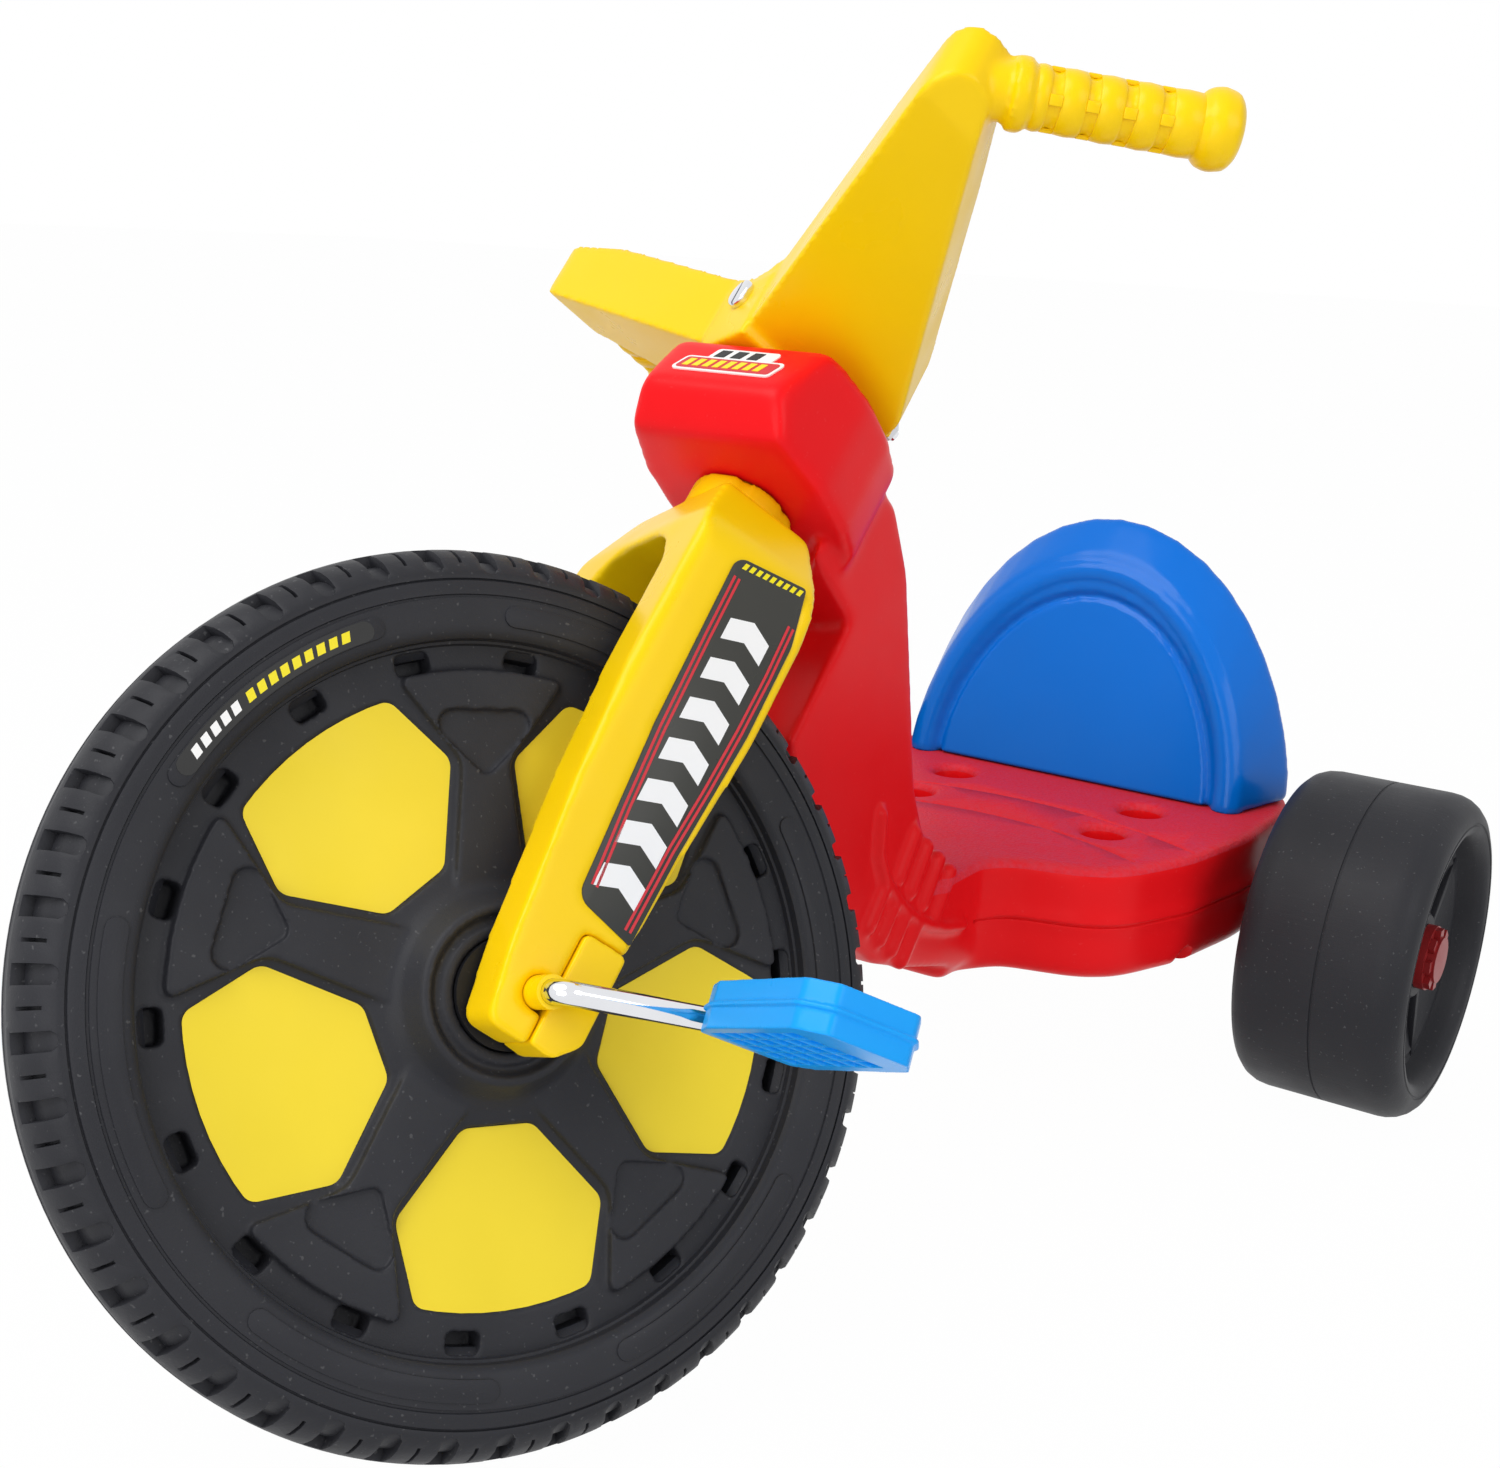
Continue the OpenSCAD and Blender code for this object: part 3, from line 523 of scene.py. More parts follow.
def moulded(name, colour, rough, grain=0.12, grain_scale=900.0, drift=0.05, dirt=0.0):
    """Moulded plastic: faint drift of colour, uneven gloss and a fine grain."""
    n = Nodes(name)
    cloud = n.noise(7.0, 3.0)
    paler = tint(colour, 1 + drift, drift * 0.02)
    colours = n.ramp(cloud, [(0.3, tint(colour, 1 - drift)), (0.7, paler)])
    if dirt:
        specks = n.noise(420.0, 1.0)
        mask = n.ramp(specks, [(0.7, (0, 0, 0, 1)), (0.78, (1, 1, 1, 1))])
        mix = n.add("ShaderNodeMix", data_type="RGBA")
        n.link(n.math("MULTIPLY", mask, dirt), mix.inputs["Factor"])
        n.link(colours, mix.inputs["A"])
        mix.inputs["B"].default_value = tint(colour, 1.3, 0.25)
        colours = mix.outputs["Result"]
    n.shade(colours, "Base Color")
    n.shade(n.range(n.noise(24.0, 4.0), rough - 0.05, rough + 0.07), "Roughness")
    fine = n.bump(n.noise(grain_scale, 2.0), grain, 0.0004)
    n.shade(n.bump(n.noise(38.0, 1.0), 0.10, 0.0012, fine), "Normal")
    n.shader.inputs["Specular IOR Level"].default_value = 0.2
    return n


def colour_of(settings, key):
    return tuple(getattr(settings, key)) + (1.0,)


def plastic(name, colour, rough, grain, drift, dirt=0.0):
    return moulded(name, colour, rough, grain=grain, drift=drift, dirt=dirt).material


def black_wheel(settings):
    """Black polyethylene: satin, with faint turning marks and dusty grain."""
    colour = colour_of(settings, "black")
    n = moulded("black wheel", colour, 0.5, grain=0.22, grain_scale=1400.0, drift=0.12, dirt=0.16)
    lines = n.noise(60.0, 3.0, stretch=(0.6, 9.0, 9.0))
    n.shade(n.bump(lines, 0.10, 0.0008, n.shaded("Normal")), "Normal")
    return n.material


def metal_material(name, colour, rough, scratch):
    n = Nodes(name)
    n.shader.inputs["Metallic"].default_value = 1.0
    cloud = n.noise(30.0, 3.0)
    n.shade(n.ramp(cloud, [(0.3, tint(colour, 0.93)), (0.7, tint(colour, 1.04))]), "Base Color")
    n.shade(n.range(n.noise(90.0, 4.0), rough, rough + 0.08), "Roughness")
    n.shade(n.bump(n.noise(700.0, 2.0, stretch=(1.0, 6.0, 1.0)), scratch, 0.0002), "Normal")
    return n.material


def material(key, settings):
    """The named finish, made on first use."""
    found = bpy.data.materials.get(key.replace("_", " "))
    return found if found is not None else FINISHES[key](settings)


def red_shell(settings):
    """Red plastic, stippled on the deck, and with painted sheen making the deck's top paler: only faces near the
    deck's height.
    """
    n = moulded("red shell", colour_of(settings, "red"), 0.34, grain=0.08, dirt=0.06)
    n.shader.inputs["Specular IOR Level"].default_value = 0.13
    above = n.math("SUBTRACT", n.along(TRIKE, 2), (PAN_Z - 1) * MM)
    near = n.math("LESS_THAN", n.math("ABSOLUTE", above), 4 * MM)
    aft = n.math("GREATER_THAN", n.along(TRIKE, 1), DECK_START * MM)
    mask = n.math("MULTIPLY", near, aft)
    # Painted sheen: the deck's top is mixed towards a paler pink, standing in for light glancing off its stipple
    painted_deck_sheen = n.add("ShaderNodeMix", data_type="RGBA")
    n.link(n.math("MULTIPLY", mask, n.range(n.noise(300.0, 3.0), 0.35, 0.9)), painted_deck_sheen.inputs["Factor"])
    n.link(n.shaded("Base Color"), painted_deck_sheen.inputs["A"])
    painted_deck_sheen.inputs["B"].default_value = (0.74, 0.045, 0.075, 1.0)
    n.shade(painted_deck_sheen.outputs["Result"], "Base Color")
    stipple = n.math("MULTIPLY", n.noise(520.0, 1.0), mask)
    n.shade(n.bump(stipple, 0.5, 0.0012, n.shaded("Normal")), "Normal")
    n.shade(n.math("ADD", n.shaded("Roughness"), n.math("MULTIPLY", mask, 0.18)), "Roughness")
    return n.material


# Each finish by its slot in the record, or by its use on a sticker
FINISHES = {
    "red_shell": red_shell,
    "yellow_moulding": lambda s: plastic("yellow moulding", colour_of(s, "yellow"), 0.3, 0.06, 0.03),
    "yellow_panel": lambda s: plastic("yellow panel", colour_of(s, "panel"), 0.42, 0.05, 0.06),
    "blue_moulding": lambda s: plastic("blue moulding", colour_of(s, "blue"), 0.2, 0.02, 0.03),
    "pedal_blue": lambda s: plastic("pedal blue", colour_of(s, "pedal_blue"), 0.3, 0.06, 0.03),
    "black_wheel": black_wheel,
    "bush_black": lambda s: plastic("bush black", tint(s.black, 0.45), 0.42, 0.1, 0.1, 0.08),
    "dark_panel": lambda s: plastic("dark panel", colour_of(s, "dark"), 0.3, 0.03, 0.05),
    "cap_red": lambda s: plastic("cap red", (0.3, 0.018, 0.02, 1.0), 0.38, 0.1, 0.08),
    "crank_steel": lambda s: metal_material("crank steel", (0.78, 0.79, 0.82), 0.05, 0.03),
    "axle_steel": lambda s: metal_material("axle steel", (0.62, 0.63, 0.65), 0.22, 0.12),
    "sticker_black": lambda s: plastic("sticker black", (0.006, 0.006, 0.006, 1.0), 0.22, 0.02, 0.1),
    "sticker_white": lambda s: plastic("sticker white", (0.86, 0.86, 0.86, 1.0), 0.3, 0.02, 0.02),
    "sticker_yellow": lambda s: plastic("sticker yellow", (0.85, 0.72, 0.01, 1.0), 0.3, 0.02, 0.03),
    "sticker_red": lambda s: plastic("sticker red", (0.62, 0.03, 0.045, 1.0), 0.3, 0.02, 0.04),
}


# Sizes and colours that a user may change


class TricycleSettings(bpy.types.PropertyGroup):
    """Colours of the mouldings and the fineness of their skins."""

    red: FloatVectorProperty(
        name="Red", description="Colour of the body",
        subtype="COLOR", size=3, default=(0.83, 0.006, 0.010))
    yellow: FloatVectorProperty(
        name="Yellow", description="Colour of the fork and handlebar",
        subtype="COLOR", size=3, default=(0.93, 0.61, 0.001))
    panel: FloatVectorProperty(
        name="Wheel panels", description="Colour of the panels between the spokes",
        subtype="COLOR", size=3, default=(0.86, 0.66, 0.03))
    blue: FloatVectorProperty(
        name="Seat blue", description="Colour of the seat back",
        subtype="COLOR", size=3, default=(0.0005, 0.165, 0.70))
    pedal_blue: FloatVectorProperty(
        name="Pedal blue", description="Colour of the pedals",
        subtype="COLOR", size=3, default=(0.005, 0.34, 0.90))
    black: FloatVectorProperty(
        name="Black", description="Colour of the wheels",
        subtype="COLOR", size=3, default=(0.019, 0.0195, 0.024))
    dark: FloatVectorProperty(
        name="Side panels", description="Colour of the panels on the fork",
        subtype="COLOR", size=3, default=(0.045, 0.045, 0.040))
    body_voxel: FloatProperty(
        name="Body skin", description="Voxel of the body's skin, in millimetres",
        default=2.2, min=1.5, max=5)
    skin_voxel: FloatProperty(
        name="Fork and bar skin", description="Voxel of the yellow skins, in millimetres",
        default=1.6, min=1.0, max=4)
    web_voxel: FloatProperty(
        name="Wheel web skin", description="Voxel of the front wheel's web, in millimetres",
        default=1.15, min=0.8, max=3)
    chevrons: IntProperty(
        name="Chevrons", description="White chevrons on each side panel",
        default=7, min=3, max=9)


class StageSettings(bpy.types.PropertyGroup):
    """Camera and light of the photo stage."""

    focal: FloatProperty(
        name="Focal length", description="In pixels of the 1500 pixel wide frame",
        default=1971.6)
    centre_x: FloatProperty(
        name="Centre across", description="Optical centre, in pixels from the left",
        default=715.34)
    centre_y: FloatProperty(
        name="Centre down", description="Optical centre, in pixels from the top",
        default=782.28)
    key_watts: FloatProperty(
        name="Key light", description="Power of the large lamp",
        default=56.0, unit="POWER")
    fill_watts: FloatProperty(
        name="Fill light", description="Power of the side and the front lamp",
        default=15.0, unit="POWER")


# Front wheel


def window_outline():
    """The opening between two spokes: an arc outside and a blunt point towards the hub."""
    shoulder, foot = PANEL_R * 0.77, PANEL_R * 0.43
    points = arc(PANEL_R, -17.6, 17.6, 8)
    points += [polar(shoulder, 28), polar(foot, 16.8), polar(foot, -16.8), polar(shoulder, -28)]
    radii = [6] + [0] * 7 + [6] + [8] * 4
    return rounded(points, radii)


def flare_outline():
    """The raised Y of one spoke, with its middle along X."""
    half = [(46, 17), (60, 15.6), (104, 11.2), (139.5, 40.5)]
    outer = [polar(145, a) for a in (12, 6, 0, -6, -12)]
    points = half + outer + [(x, -y) for x, y in reversed(half)]
    return rounded(points, [0, 3, 16, 7, 0, 0, 0, 0, 0, 7, 16, 3, 0])


def capsule(radius, half_width, start, end, steps=24):
    """An arc-shaped bar with round ends, about Z."""
    def round_end(angle, turns):
        middle = Vector(polar(radius, angle))
        return [tuple(middle + Vector(polar(half_width, angle + turn))) for turn in turns]
    points = arc(radius + half_width, start, end, steps) + round_end(end, range(30, 180, 30))
    points += arc(radius - half_width, end, start, steps) + round_end(start, range(210, 360, 30))
    return points


def both_faces(profile):
    return profile + [(r, -z) for r, z in reversed(profile)]


def wheel_web(settings):
    """Hub, disc and spokes as one skin, with the windows, pockets and vents cut into both faces."""
    hub = [(BUSH_R + 0.3, HUB_HALF - 1.5), (30.5, HUB_HALF - 1.5), (31, HUB_HALF - 4), (34.5, HUB_HALF - 4),
           (35.5, HUB_HALF - 0.8), (37, HUB_HALF), (39.5, HUB_HALF - 0.8), (42, HUB_HALF - 5), (46, 29),
           (51, 25.2), (58, 22.6), (66, WEB_X), (160, WEB_X)]
    web = turned("front_wheel_web", both_faces(hub), 120, WHEEL)
    spoke_angles = [PHASE + HALF_PITCH + i * 360 / SPOKES for i in range(SPOKES)]
    window_angles = [a - HALF_PITCH for a in spoke_angles]
    vent_angles = [VENT_PHASE + i * 360 / VENTS for i in range(VENTS)]
    for flip in (False, True):
        flare = plate("flare", flare_outline(), WEB_X - 2, WEB_X + 4.6, WHEEL)
        flares = repeated("flares", flare, around(WHEEL, spoke_angles, flip))
        web = joined("front_wheel_web", [web, flares])
    cutters = []
    for flip in (False, True):
        window = plate("window", window_outline(), DISC_HALF, WEB_CLEAR, WHEEL)
        cutters.append(repeated("windows", window, around(WHEEL, window_angles, flip)))
        corners = rounded([polar(131, 14.5), polar(96, 0), polar(131, -14.5)], [7, 5, 7])
        pocket = plate("pocket", corners, WEB_X + 1.4, WEB_CLEAR, WHEEL)
        cutters.append(repeated("pockets", pocket, around(WHEEL, spoke_angles, flip)))
        corners = rounded([(VENT_R - 5, -8), (VENT_R + 5, -8), (VENT_R + 5, 8), (VENT_R - 5, 8)], 3)
        vent = plate("vent", corners, WEB_X - 13, WEB_CLEAR, WHEEL)
        cutters.append(repeated("vents", vent, around(WHEEL, vent_angles, flip)))
    fused(web, settings.web_voxel, passes=0)
    cut(web, joined("cutters", cutters))
    return fused(web, settings.web_voxel, passes=2, factor=0.4, keep=0.32)


def wheel_tyre():
    """The tyre without its shoulders: a lip over the web, a side wall with fine rings and a crown."""
    side = [(152, WEB_X - 4), (156, WEB_X - 0.5), (156.6, WEB_X + 2.6), (157.8, WEB_X + 3),
            (158.2, WEB_X + 7.4), (159.4, WEB_X + 8.9), (161.5, WALL_X - 0.7), (164, WALL_X - 0.25),
            (173, WALL_X - 0.1), (176.2, WALL_X - 0.4), (176.5, WALL_X - 1.3), (177.5, WALL_X - 1.4),
            (177.9, WALL_X - 0.7), (181, WALL_X - 0.9), (184.2, WALL_X - 2.2), (184.6, WALL_X - 3.2),
            (185.8, WALL_X - 3.6), (186.2, WALL_X - 3.0), (189, WALL_X - 4.5), (192, 23.2), (194.5, 19),
            (196.2, 13), (197, 8), (197.4, 5.8), (201.8, 5), (202.8, 3.6)]
    return smooth(turned("front_wheel_tyre", both_faces(side), TREAD_STEPS, WHEEL), 32)


def wheel_lugs():
    """Shoulders of the tread: a ring cut by round-ended gaps, half a pitch apart on the two sides."""
    crown = [(198.5, 2), (203, 3), (203, 5), (202, 11), (199.4, 18), (195.4, 24), (188.6, 29.3), (185.4, 29.6),
             (185.4, 26), (190, 23), (193.4, 16), (195.4, 6)]
    pitch = 360 / BLOCKS
    sides = []
    for flip in (False, True):
        ring = turned("shoulder", crown, TREAD_STEPS, WHEEL)
        gap = [(188.2, -2.4), (190.4, -4.1), (207, -4.6), (207, 4.6), (190.4, 4.1), (188.2, 2.4),
               (187.6, 0)]
        slot = plate("slot", gap, 8.5, 40, WHEEL)
        slit = plate("slit", [(193, -0.8), (207, -0.9), (207, 0.9), (193, 0.8)], 14, 40, WHEEL)
        angles = [i * pitch for i in range(BLOCKS)]
        gaps = repeated("gaps", slot, around(WHEEL, angles))
        slits = repeated("slits", slit, around(WHEEL, [a + pitch / 2 for a in angles]))
        cut(ring, joined("gaps", [gaps, slits]))
        soften(ring, 0.0008, 2, 35)
        turn = around(WHEEL, [pitch / 2 if flip else 0], flip)[0]
        ring.data.transform(turn)
        if flip:
            ring.data.flip_normals()
        sides.append(ring)
    return smooth(joined("front_wheel_lugs", sides), 40)


def wheel_pads():
    """Low arc-shaped pads on both side walls."""
    pads = []
    angles = [PAD_PHASE + i * 360 / PAD_COUNT for i in range(PAD_COUNT)]
    for flip in (False, True):
        pad = plate("pad", capsule(PAD_R, 5.0, -18.5, 18.5), WALL_X - 1.5, WALL_X + 0.75, WHEEL, 0.5)
        pads.append(repeated("pads", pad, around(WHEEL, angles, flip)))
    return smooth(joined("front_wheel_label_pads", pads), 40)


def wheel_stickers(settings):
    """A black label with plain slanted bars, five white and nine yellow."""
    low = WALL_X + 0.7
    centre = PAD_PHASE - 120
    label = plate("front_wheel_label", capsule(PAD_R, 4.5, -16.8, 16.8), low, low + 0.25, WHEEL)
    label.data.transform(around(WHEEL, [centre])[0])
    finish_piece(smooth(label, 40), "wheel", "dark_panel", material("sticker_black", settings))
    outline = [(166.4, -1.6), (170.8, -3.1), (170.8, 0.9), (166.4, 2.4)]
    rows = (("white", 14.5, 5, "dark_panel"), ("yellow", 3.2, 9, "yellow_panel"))
    for colour, first, count, slot in rows:
        bar = plate("bar", outline, low + 0.2, low + 0.35, WHEEL)
        turns = around(WHEEL, [centre + first - 2.1 * i for i in range(count)])
        bars = repeated(f"front_wheel_label_{colour}_bars", bar, turns)
        finish_piece(bars, "wheel", slot, material("sticker_" + colour, settings))


class TRICYCLE_OT_front_wheel(bpy.types.Operator):
    """Tyre, tread, web and labels of the front wheel"""

    bl_idname = "tricycle.front_wheel"
    bl_label = "Front wheel"

    def execute(self, context):
        s = context.scene.tricycle
        black = material("black_wheel", s)
        finish_piece(wheel_web(s), "wheel", "black_wheel", black, "front_wheel")
        for piece in (wheel_tyre(), wheel_lugs(), wheel_pads()):
            finish_piece(piece, "wheel", "black_wheel", black)
        wheel_stickers(s)
        return {"FINISHED"}


def strip(name, points, width, low, high, matrix):
    """A flat strip of even width along a line."""
    left, right = [], []
    for i, point in enumerate(points):
        ahead = Vector(points[min(i + 1, len(points) - 1)]) - Vector(points[max(i - 1, 0)])
        across = Vector((-ahead.y, ahead.x)).normalized() * width / 2
        left.append(tuple(Vector(point) + across))
        right.append(tuple(Vector(point) - across))
    return plate(name, left + right[::-1], low, high, matrix)


def side_panel(settings, side):
    """Dark panel with two pairs of red lines, plain white chevrons and a row of yellow bars."""
    face = SIDE if side == "left" else SIDE @ FLIP
    corners = [(-5, 44), (27, 38), (28, 85), (32, 150), (31.5, 200), (25, 229), (-13, 221), (-11, 130)]
    outline = rounded(corners, [8, 1, 30, 40, 30, 2, 7, 30])
    panel = plate("side_panel_skin_" + side, outline, LEG_HALF - 0.9, LEG_HALF + 0.2, face, 0.3)
    finish_piece(smooth(panel, 35), "steering", "dark_panel", material("dark_panel", settings),
                 "side_panel_" + side)
    top, low, high = 212, LEG_HALF + 0.1, LEG_HALF + 0.32
    lines = []
    for gap in (3.0, 5.6):
        front = [(-5 + gap, 52), (-8.5 + gap, 90), (-11 + gap, 130), (-12.3 + gap, 180), (-12.7 + gap, top)]
        rear = [(27 - gap, 43), (28 - gap, 85), (30.3 - gap, 118), (31.6 - gap, 150), (31.9 - gap, 180),
                (31 - gap, top - 4)]
        lines += [strip("line", points, 1.3, low, high, face) for points in (front, rear)]
    chevrons = []
    count = settings.chevrons
    pitch = 152 / count
    half, rise, deep = 11.5, 5, pitch * 0.52
    for i in range(count):
        foot = 52 + pitch * i
        middle = 9.8 - 0.5 * i / count
        points = [(middle - half, foot), (middle, foot + rise), (middle + half, foot),
                  (middle + half, foot + deep), (middle, foot + rise + deep), (middle - half, foot + deep)]
        chevrons.append(plate("chevron", points, low, high, face))
    bars = []
    for i in range(9):
        u, v = -8.5 + 3.7 * i, 217 + 0.78 * i
        points = [(u, v), (u + 2.2, v + 0.4), (u + 3, v + 3.8), (u + 0.8, v + 3.4)]
        bars.append(plate("bar", points, low, high, face))
    for name, parts, slot, finish in (("lines", lines, "dark_panel", "sticker_red"),
                                      ("chevrons", chevrons, "dark_panel", "sticker_white"),
                                      ("bars", bars, "yellow_panel", "sticker_yellow")):
        finish_piece(joined(f"side_panel_{name}_{side}", parts), "steering", slot, material(finish, settings))


class TRICYCLE_OT_fork(bpy.types.Operator):
    """Skin of the fork, its keepers and the side panels' stripes"""

    bl_idname = "tricycle.fork"
    bl_label = "Fork"

    def execute(self, context):
        s = context.scene.tricycle
        yellow = material("yellow_moulding", s)
        fork = outer_copy("fork", "fork_skin")
        fused(fork, s.skin_voxel, passes=14, keep=0.5)
        finish_piece(fork, "steering", "yellow_moulding", yellow, "fork")
        for side in ("left", "right"):
            keeper = outer_copy("keeper_" + side, "keeper_skin_" + side)
            fused(keeper, 0.8, passes=8, keep=0.5)
            finish_piece(keeper, "steering", "yellow_moulding", yellow, "keeper_" + side)
            side_panel(s, side)
        return {"FINISHED"}


def grip_rings():
    """Swollen lands of the left grip, and the bridges across the grooves between them."""
    parts = []
    r = GRIP_R
    for i in range(LANDS):
        low = i * GROOVE + 4.8 if i else 9.5
        high = (i + 1) * GROOVE - 0.6 if i < LANDS - 1 else LANDS * GROOVE + 2
        land = [(r - 2, low), (r + 0.3, low), (r + 1.1, low + 0.9), (r + 1.5, (low + high) / 2),
                (r + 1.1, high - 0.9), (r + 0.3, high), (r - 2, high)]
        parts.append(turned("land", land, 64, GRIP))
        if i:
            for a in range(4):
                turn = GRIP @ Matrix.Rotation(math.radians(40 + 90 * a), 4, "Z")
                parts.append(block("bridge", (r, 0, low - 2.7), (2.2, 5, 6), turn, 0.6))
    return parts


class TRICYCLE_OT_handlebar(bpy.types.Operator):
    """Skin of the handlebar and the head of its bolt"""

    bl_idname = "tricycle.handlebar"
    bl_label = "Handlebar"

    def execute(self, context):
        s = context.scene.tricycle
        yellow = material("yellow_moulding", s)
        bar = outer_copy("handlebar", "handlebar_skin")
        fused(bar, s.skin_voxel, passes=6, keep=0.5)
        finish_piece(bar, "steering", "yellow_moulding", yellow, "handlebar")
        rings = both_sides(joined("grip_rings", grip_rings()), BAR)
        finish_piece(smooth(rings, 40), "steering", "yellow_moulding", yellow)
        head = rod("bar_bolt_head", (0, -LUG_FRONT - 4, BOLT_Z), (0, -LUG_FRONT + 1, BOLT_Z), 8, BAR, 48)
        soften(head, 0.0014, 3, 40)
        cut(head, block("slot", (0, -LUG_FRONT - 4, BOLT_Z), (1.5, 2.6, 30), BAR))
        shank = rod("shank", (0, -LUG_FRONT, BOLT_Z), (0, LUG_REAR + 9, BOLT_Z), 3, BAR)
        bolt = smooth(joined("bar_bolt_skin", [head, shank]), 35)
        finish_piece(bolt, "steering", "axle_steel", material("crank_steel", s), "bar_bolt")
        return {"FINISHED"}


# The left half of the seat pan from above, and the radii of its corners
PAN_SIDE = [(36, 392), (36, 415), (52, 438), (113, 456), (139, 520), (151, 592), (149, 655), (137, 706),
            (111, 712), (0, 712)]
PAN_RADII = [0, 20, 30, 60, 90, 150, 90, 30, 60, 0]
# A bead's line down the neck's side and back to the pan
CREASE = [(290, 26), (290, 3), (298, -13), (309, -26), (322, -38), (338, -49), (356, -58), (376, -65), (400, -70)]


def pan_outline(grow):
    """The seat pan seen from above, swollen a little about its middle."""
    half = rounded(PAN_SIDE, PAN_RADII)
    points = half + [(-x, y) for x, y in reversed(half) if x > 0.01]
    wide, long = 1 + grow / PAN_HALF, 1 + grow / (PAN_HALF + 10)
    return [(x * wide, PAN_MIDDLE + (y - PAN_MIDDLE) * long) for x, y in points]


def body_skin(settings):
    """The red moulding: dished peg holes, two rows of bellows ribs with a bead, and grooves."""
    shell = outer_copy("body_shell", "body_skin")
    fused(shell, settings.body_voxel, passes=24)
    holes = [(x, y, PAN_Z + 3.4) for y in PEG_ROWS for x in (-PEG_X, PEG_X)]
    cut(shell, joined("dishes", [ball("dish", hole, (23, 23, 7), TRIKE) for hole in holes]))
    x = NECK_HALF - 1
    parts = [shell]
    for i in range(4):
        y, z = 331 + 16 * i, 5 - 12 * i
        parts.append(both_sides(bead("rib", [(x, y, z), (x, y - 16, z - 23)], 5.8, TRIKE)))
        y, z = 299 + 14 * i, -20 - 11 * i
        parts.append(both_sides(bead("rib", [(x, y, z), (x, y - 15, z - 19)], 5.6, TRIKE)))
    parts.append(both_sides(bead("crease_bead", [(x + 1.5, y, z) for y, z in CREASE], 4.2, TRIKE)))
    shell = joined("body_skin", parts)
    fused(shell, settings.body_voxel * 0.9, passes=3, keep=0.5)
    grooves = []
    for y, reach, bow in ((517, 112, 30), (563, 136, 34)):
        line = [(reach * k / 6, y - bow * (k / 6) ** 2, PAN_Z + 0.7) for k in range(-6, 7)]
        grooves.append(fused(bead("groove", line, 1.8, TRIKE, 12), 0.7, passes=1))
    ring = plate("ring", pan_outline(4), PAN_Z - 38, PAN_Z - 36.2, TRIKE)
    cut(ring, plate("core", pan_outline(-1.3), PAN_Z - 40, PAN_Z - 34, TRIKE))
    grooves.append(ring)
    notch = both_sides(rod("notch", (112, 531, PAN_Z - 70), (152, 522, PAN_Z - 70), 9, TRIKE))
    cut(shell, *grooves, notch)
    return smooth(shell)


def slanted_bars(first, pitch, count, width, lean, foot, top, low, high):
    """A row of slanted bars on the head's facet."""
    starts = [first + pitch * i for i in range(count)]
    outlines = [[(u, foot), (u + width, foot), (u + width + lean, top), (u + lean, top)] for u in starts]
    return [plate("bar", outline, low, high, HEAD_TOP) for outline in outlines]


def head_plaque(settings):
    """A plaque on the head: a white edge, a red field and slanted bars."""
    lower = rounded([(-30, -11), (28, -11), (31, 3), (-27, 3)], 3)
    upper = rounded([(-16, 0), (21, 0), (23, 12), (-14, 12)], 2.5)
    inner = rounded([(-28, -9.4), (26.6, -9.4), (29, 1.4), (-25.6, 1.4)], 2)
    back = [plate("lower", lower, -2, 0.7, HEAD_TOP), plate("upper", upper, -2, 0.68, HEAD_TOP)]
    field = [plate("field", inner, 0.5, 0.9, HEAD_TOP)]
    yellow = slanted_bars(-24.5, 5.9, 8, 3.6, 1.6, -7.4, -0.4, 0.8, 1.1)
    black = slanted_bars(-12.5, 9.6, 3, 6, 1.6, 3.4, 10.2, 0.6, 0.95)
    for name, parts, slot, finish in (("head_plaque", back, "dark_panel", "sticker_white"),
                                      ("head_plaque_field", field, "red_shell", "sticker_red"),
                                      ("head_plaque_yellow_bars", yellow, "yellow_panel", "sticker_yellow"),
                                      ("head_plaque_black_bars", black, "dark_panel", "sticker_black")):
        finish_piece(joined(name, parts), "frame", slot, material(finish, settings))


class TRICYCLE_OT_body(bpy.types.Operator):
    """Skin of the moulded body"""

    bl_idname = "tricycle.body"
    bl_label = "Body"

    def execute(self, context):
        s = context.scene.tricycle
        finish_piece(body_skin(s), "frame", "red_shell", material("red_shell", s), "body_shell")
        head_plaque(s)
        return {"FINISHED"}


def seat_arch(half, high, steps=24):
    """An arch over the seat back's front, upright at its feet."""
    angles = [math.pi * i / steps for i in range(steps + 1)]
    return [(half * math.cos(a), high * max(0, math.sin(a)) ** 1.15) for a in angles]


class TRICYCLE_OT_seat(bpy.types.Operator):
    """Seat back with its dished front"""

    bl_idname = "tricycle.seat"
    bl_label = "Seat back"

    def execute(self, context):
        s = context.scene.tricycle
        seat = outer_copy("seat_back", "seat_skin")
        fused(seat, 2.0, passes=18)
        rim = bead("rim", [(x, y + 4, -4) for x, y in seat_arch(116, 144)], 11, SEAT_FACE, 32)
        panel = plate("panel", [(x, y + 1) for x, y in seat_arch(101, 127)], -4, 1.6, SEAT_FACE, 1.2)
        seat = joined("seat_skin", [seat, rim, panel])
        fused(seat, 1.5, passes=5, keep=0.6)
        cut(seat, block("foot", (0, SEAT_FRONT - 20, PAN_Z - 24.8), (400, 60, 50), TRIKE))
        finish_piece(seat, "seat", "blue_moulding", material("blue_moulding", s), "seat_back")
        return {"FINISHED"}


class TRICYCLE_OT_pedals(bpy.types.Operator):
    """Pedals with softened edges"""

    bl_idname = "tricycle.pedals"
    bl_label = "Pedals"

    def execute(self, context):
        s = context.scene.tricycle
        for side, body in (("left", "pedal_l"), ("right", "pedal_r")):
            pedal = outer_copy("pedal_" + side, "pedal_skin_" + side)
            fused(pedal, 0.7, passes=2, keep=0.6)
            finish_piece(pedal, body, "pedal_blue", material("pedal_blue", s), "pedal_" + side)
        return {"FINISHED"}


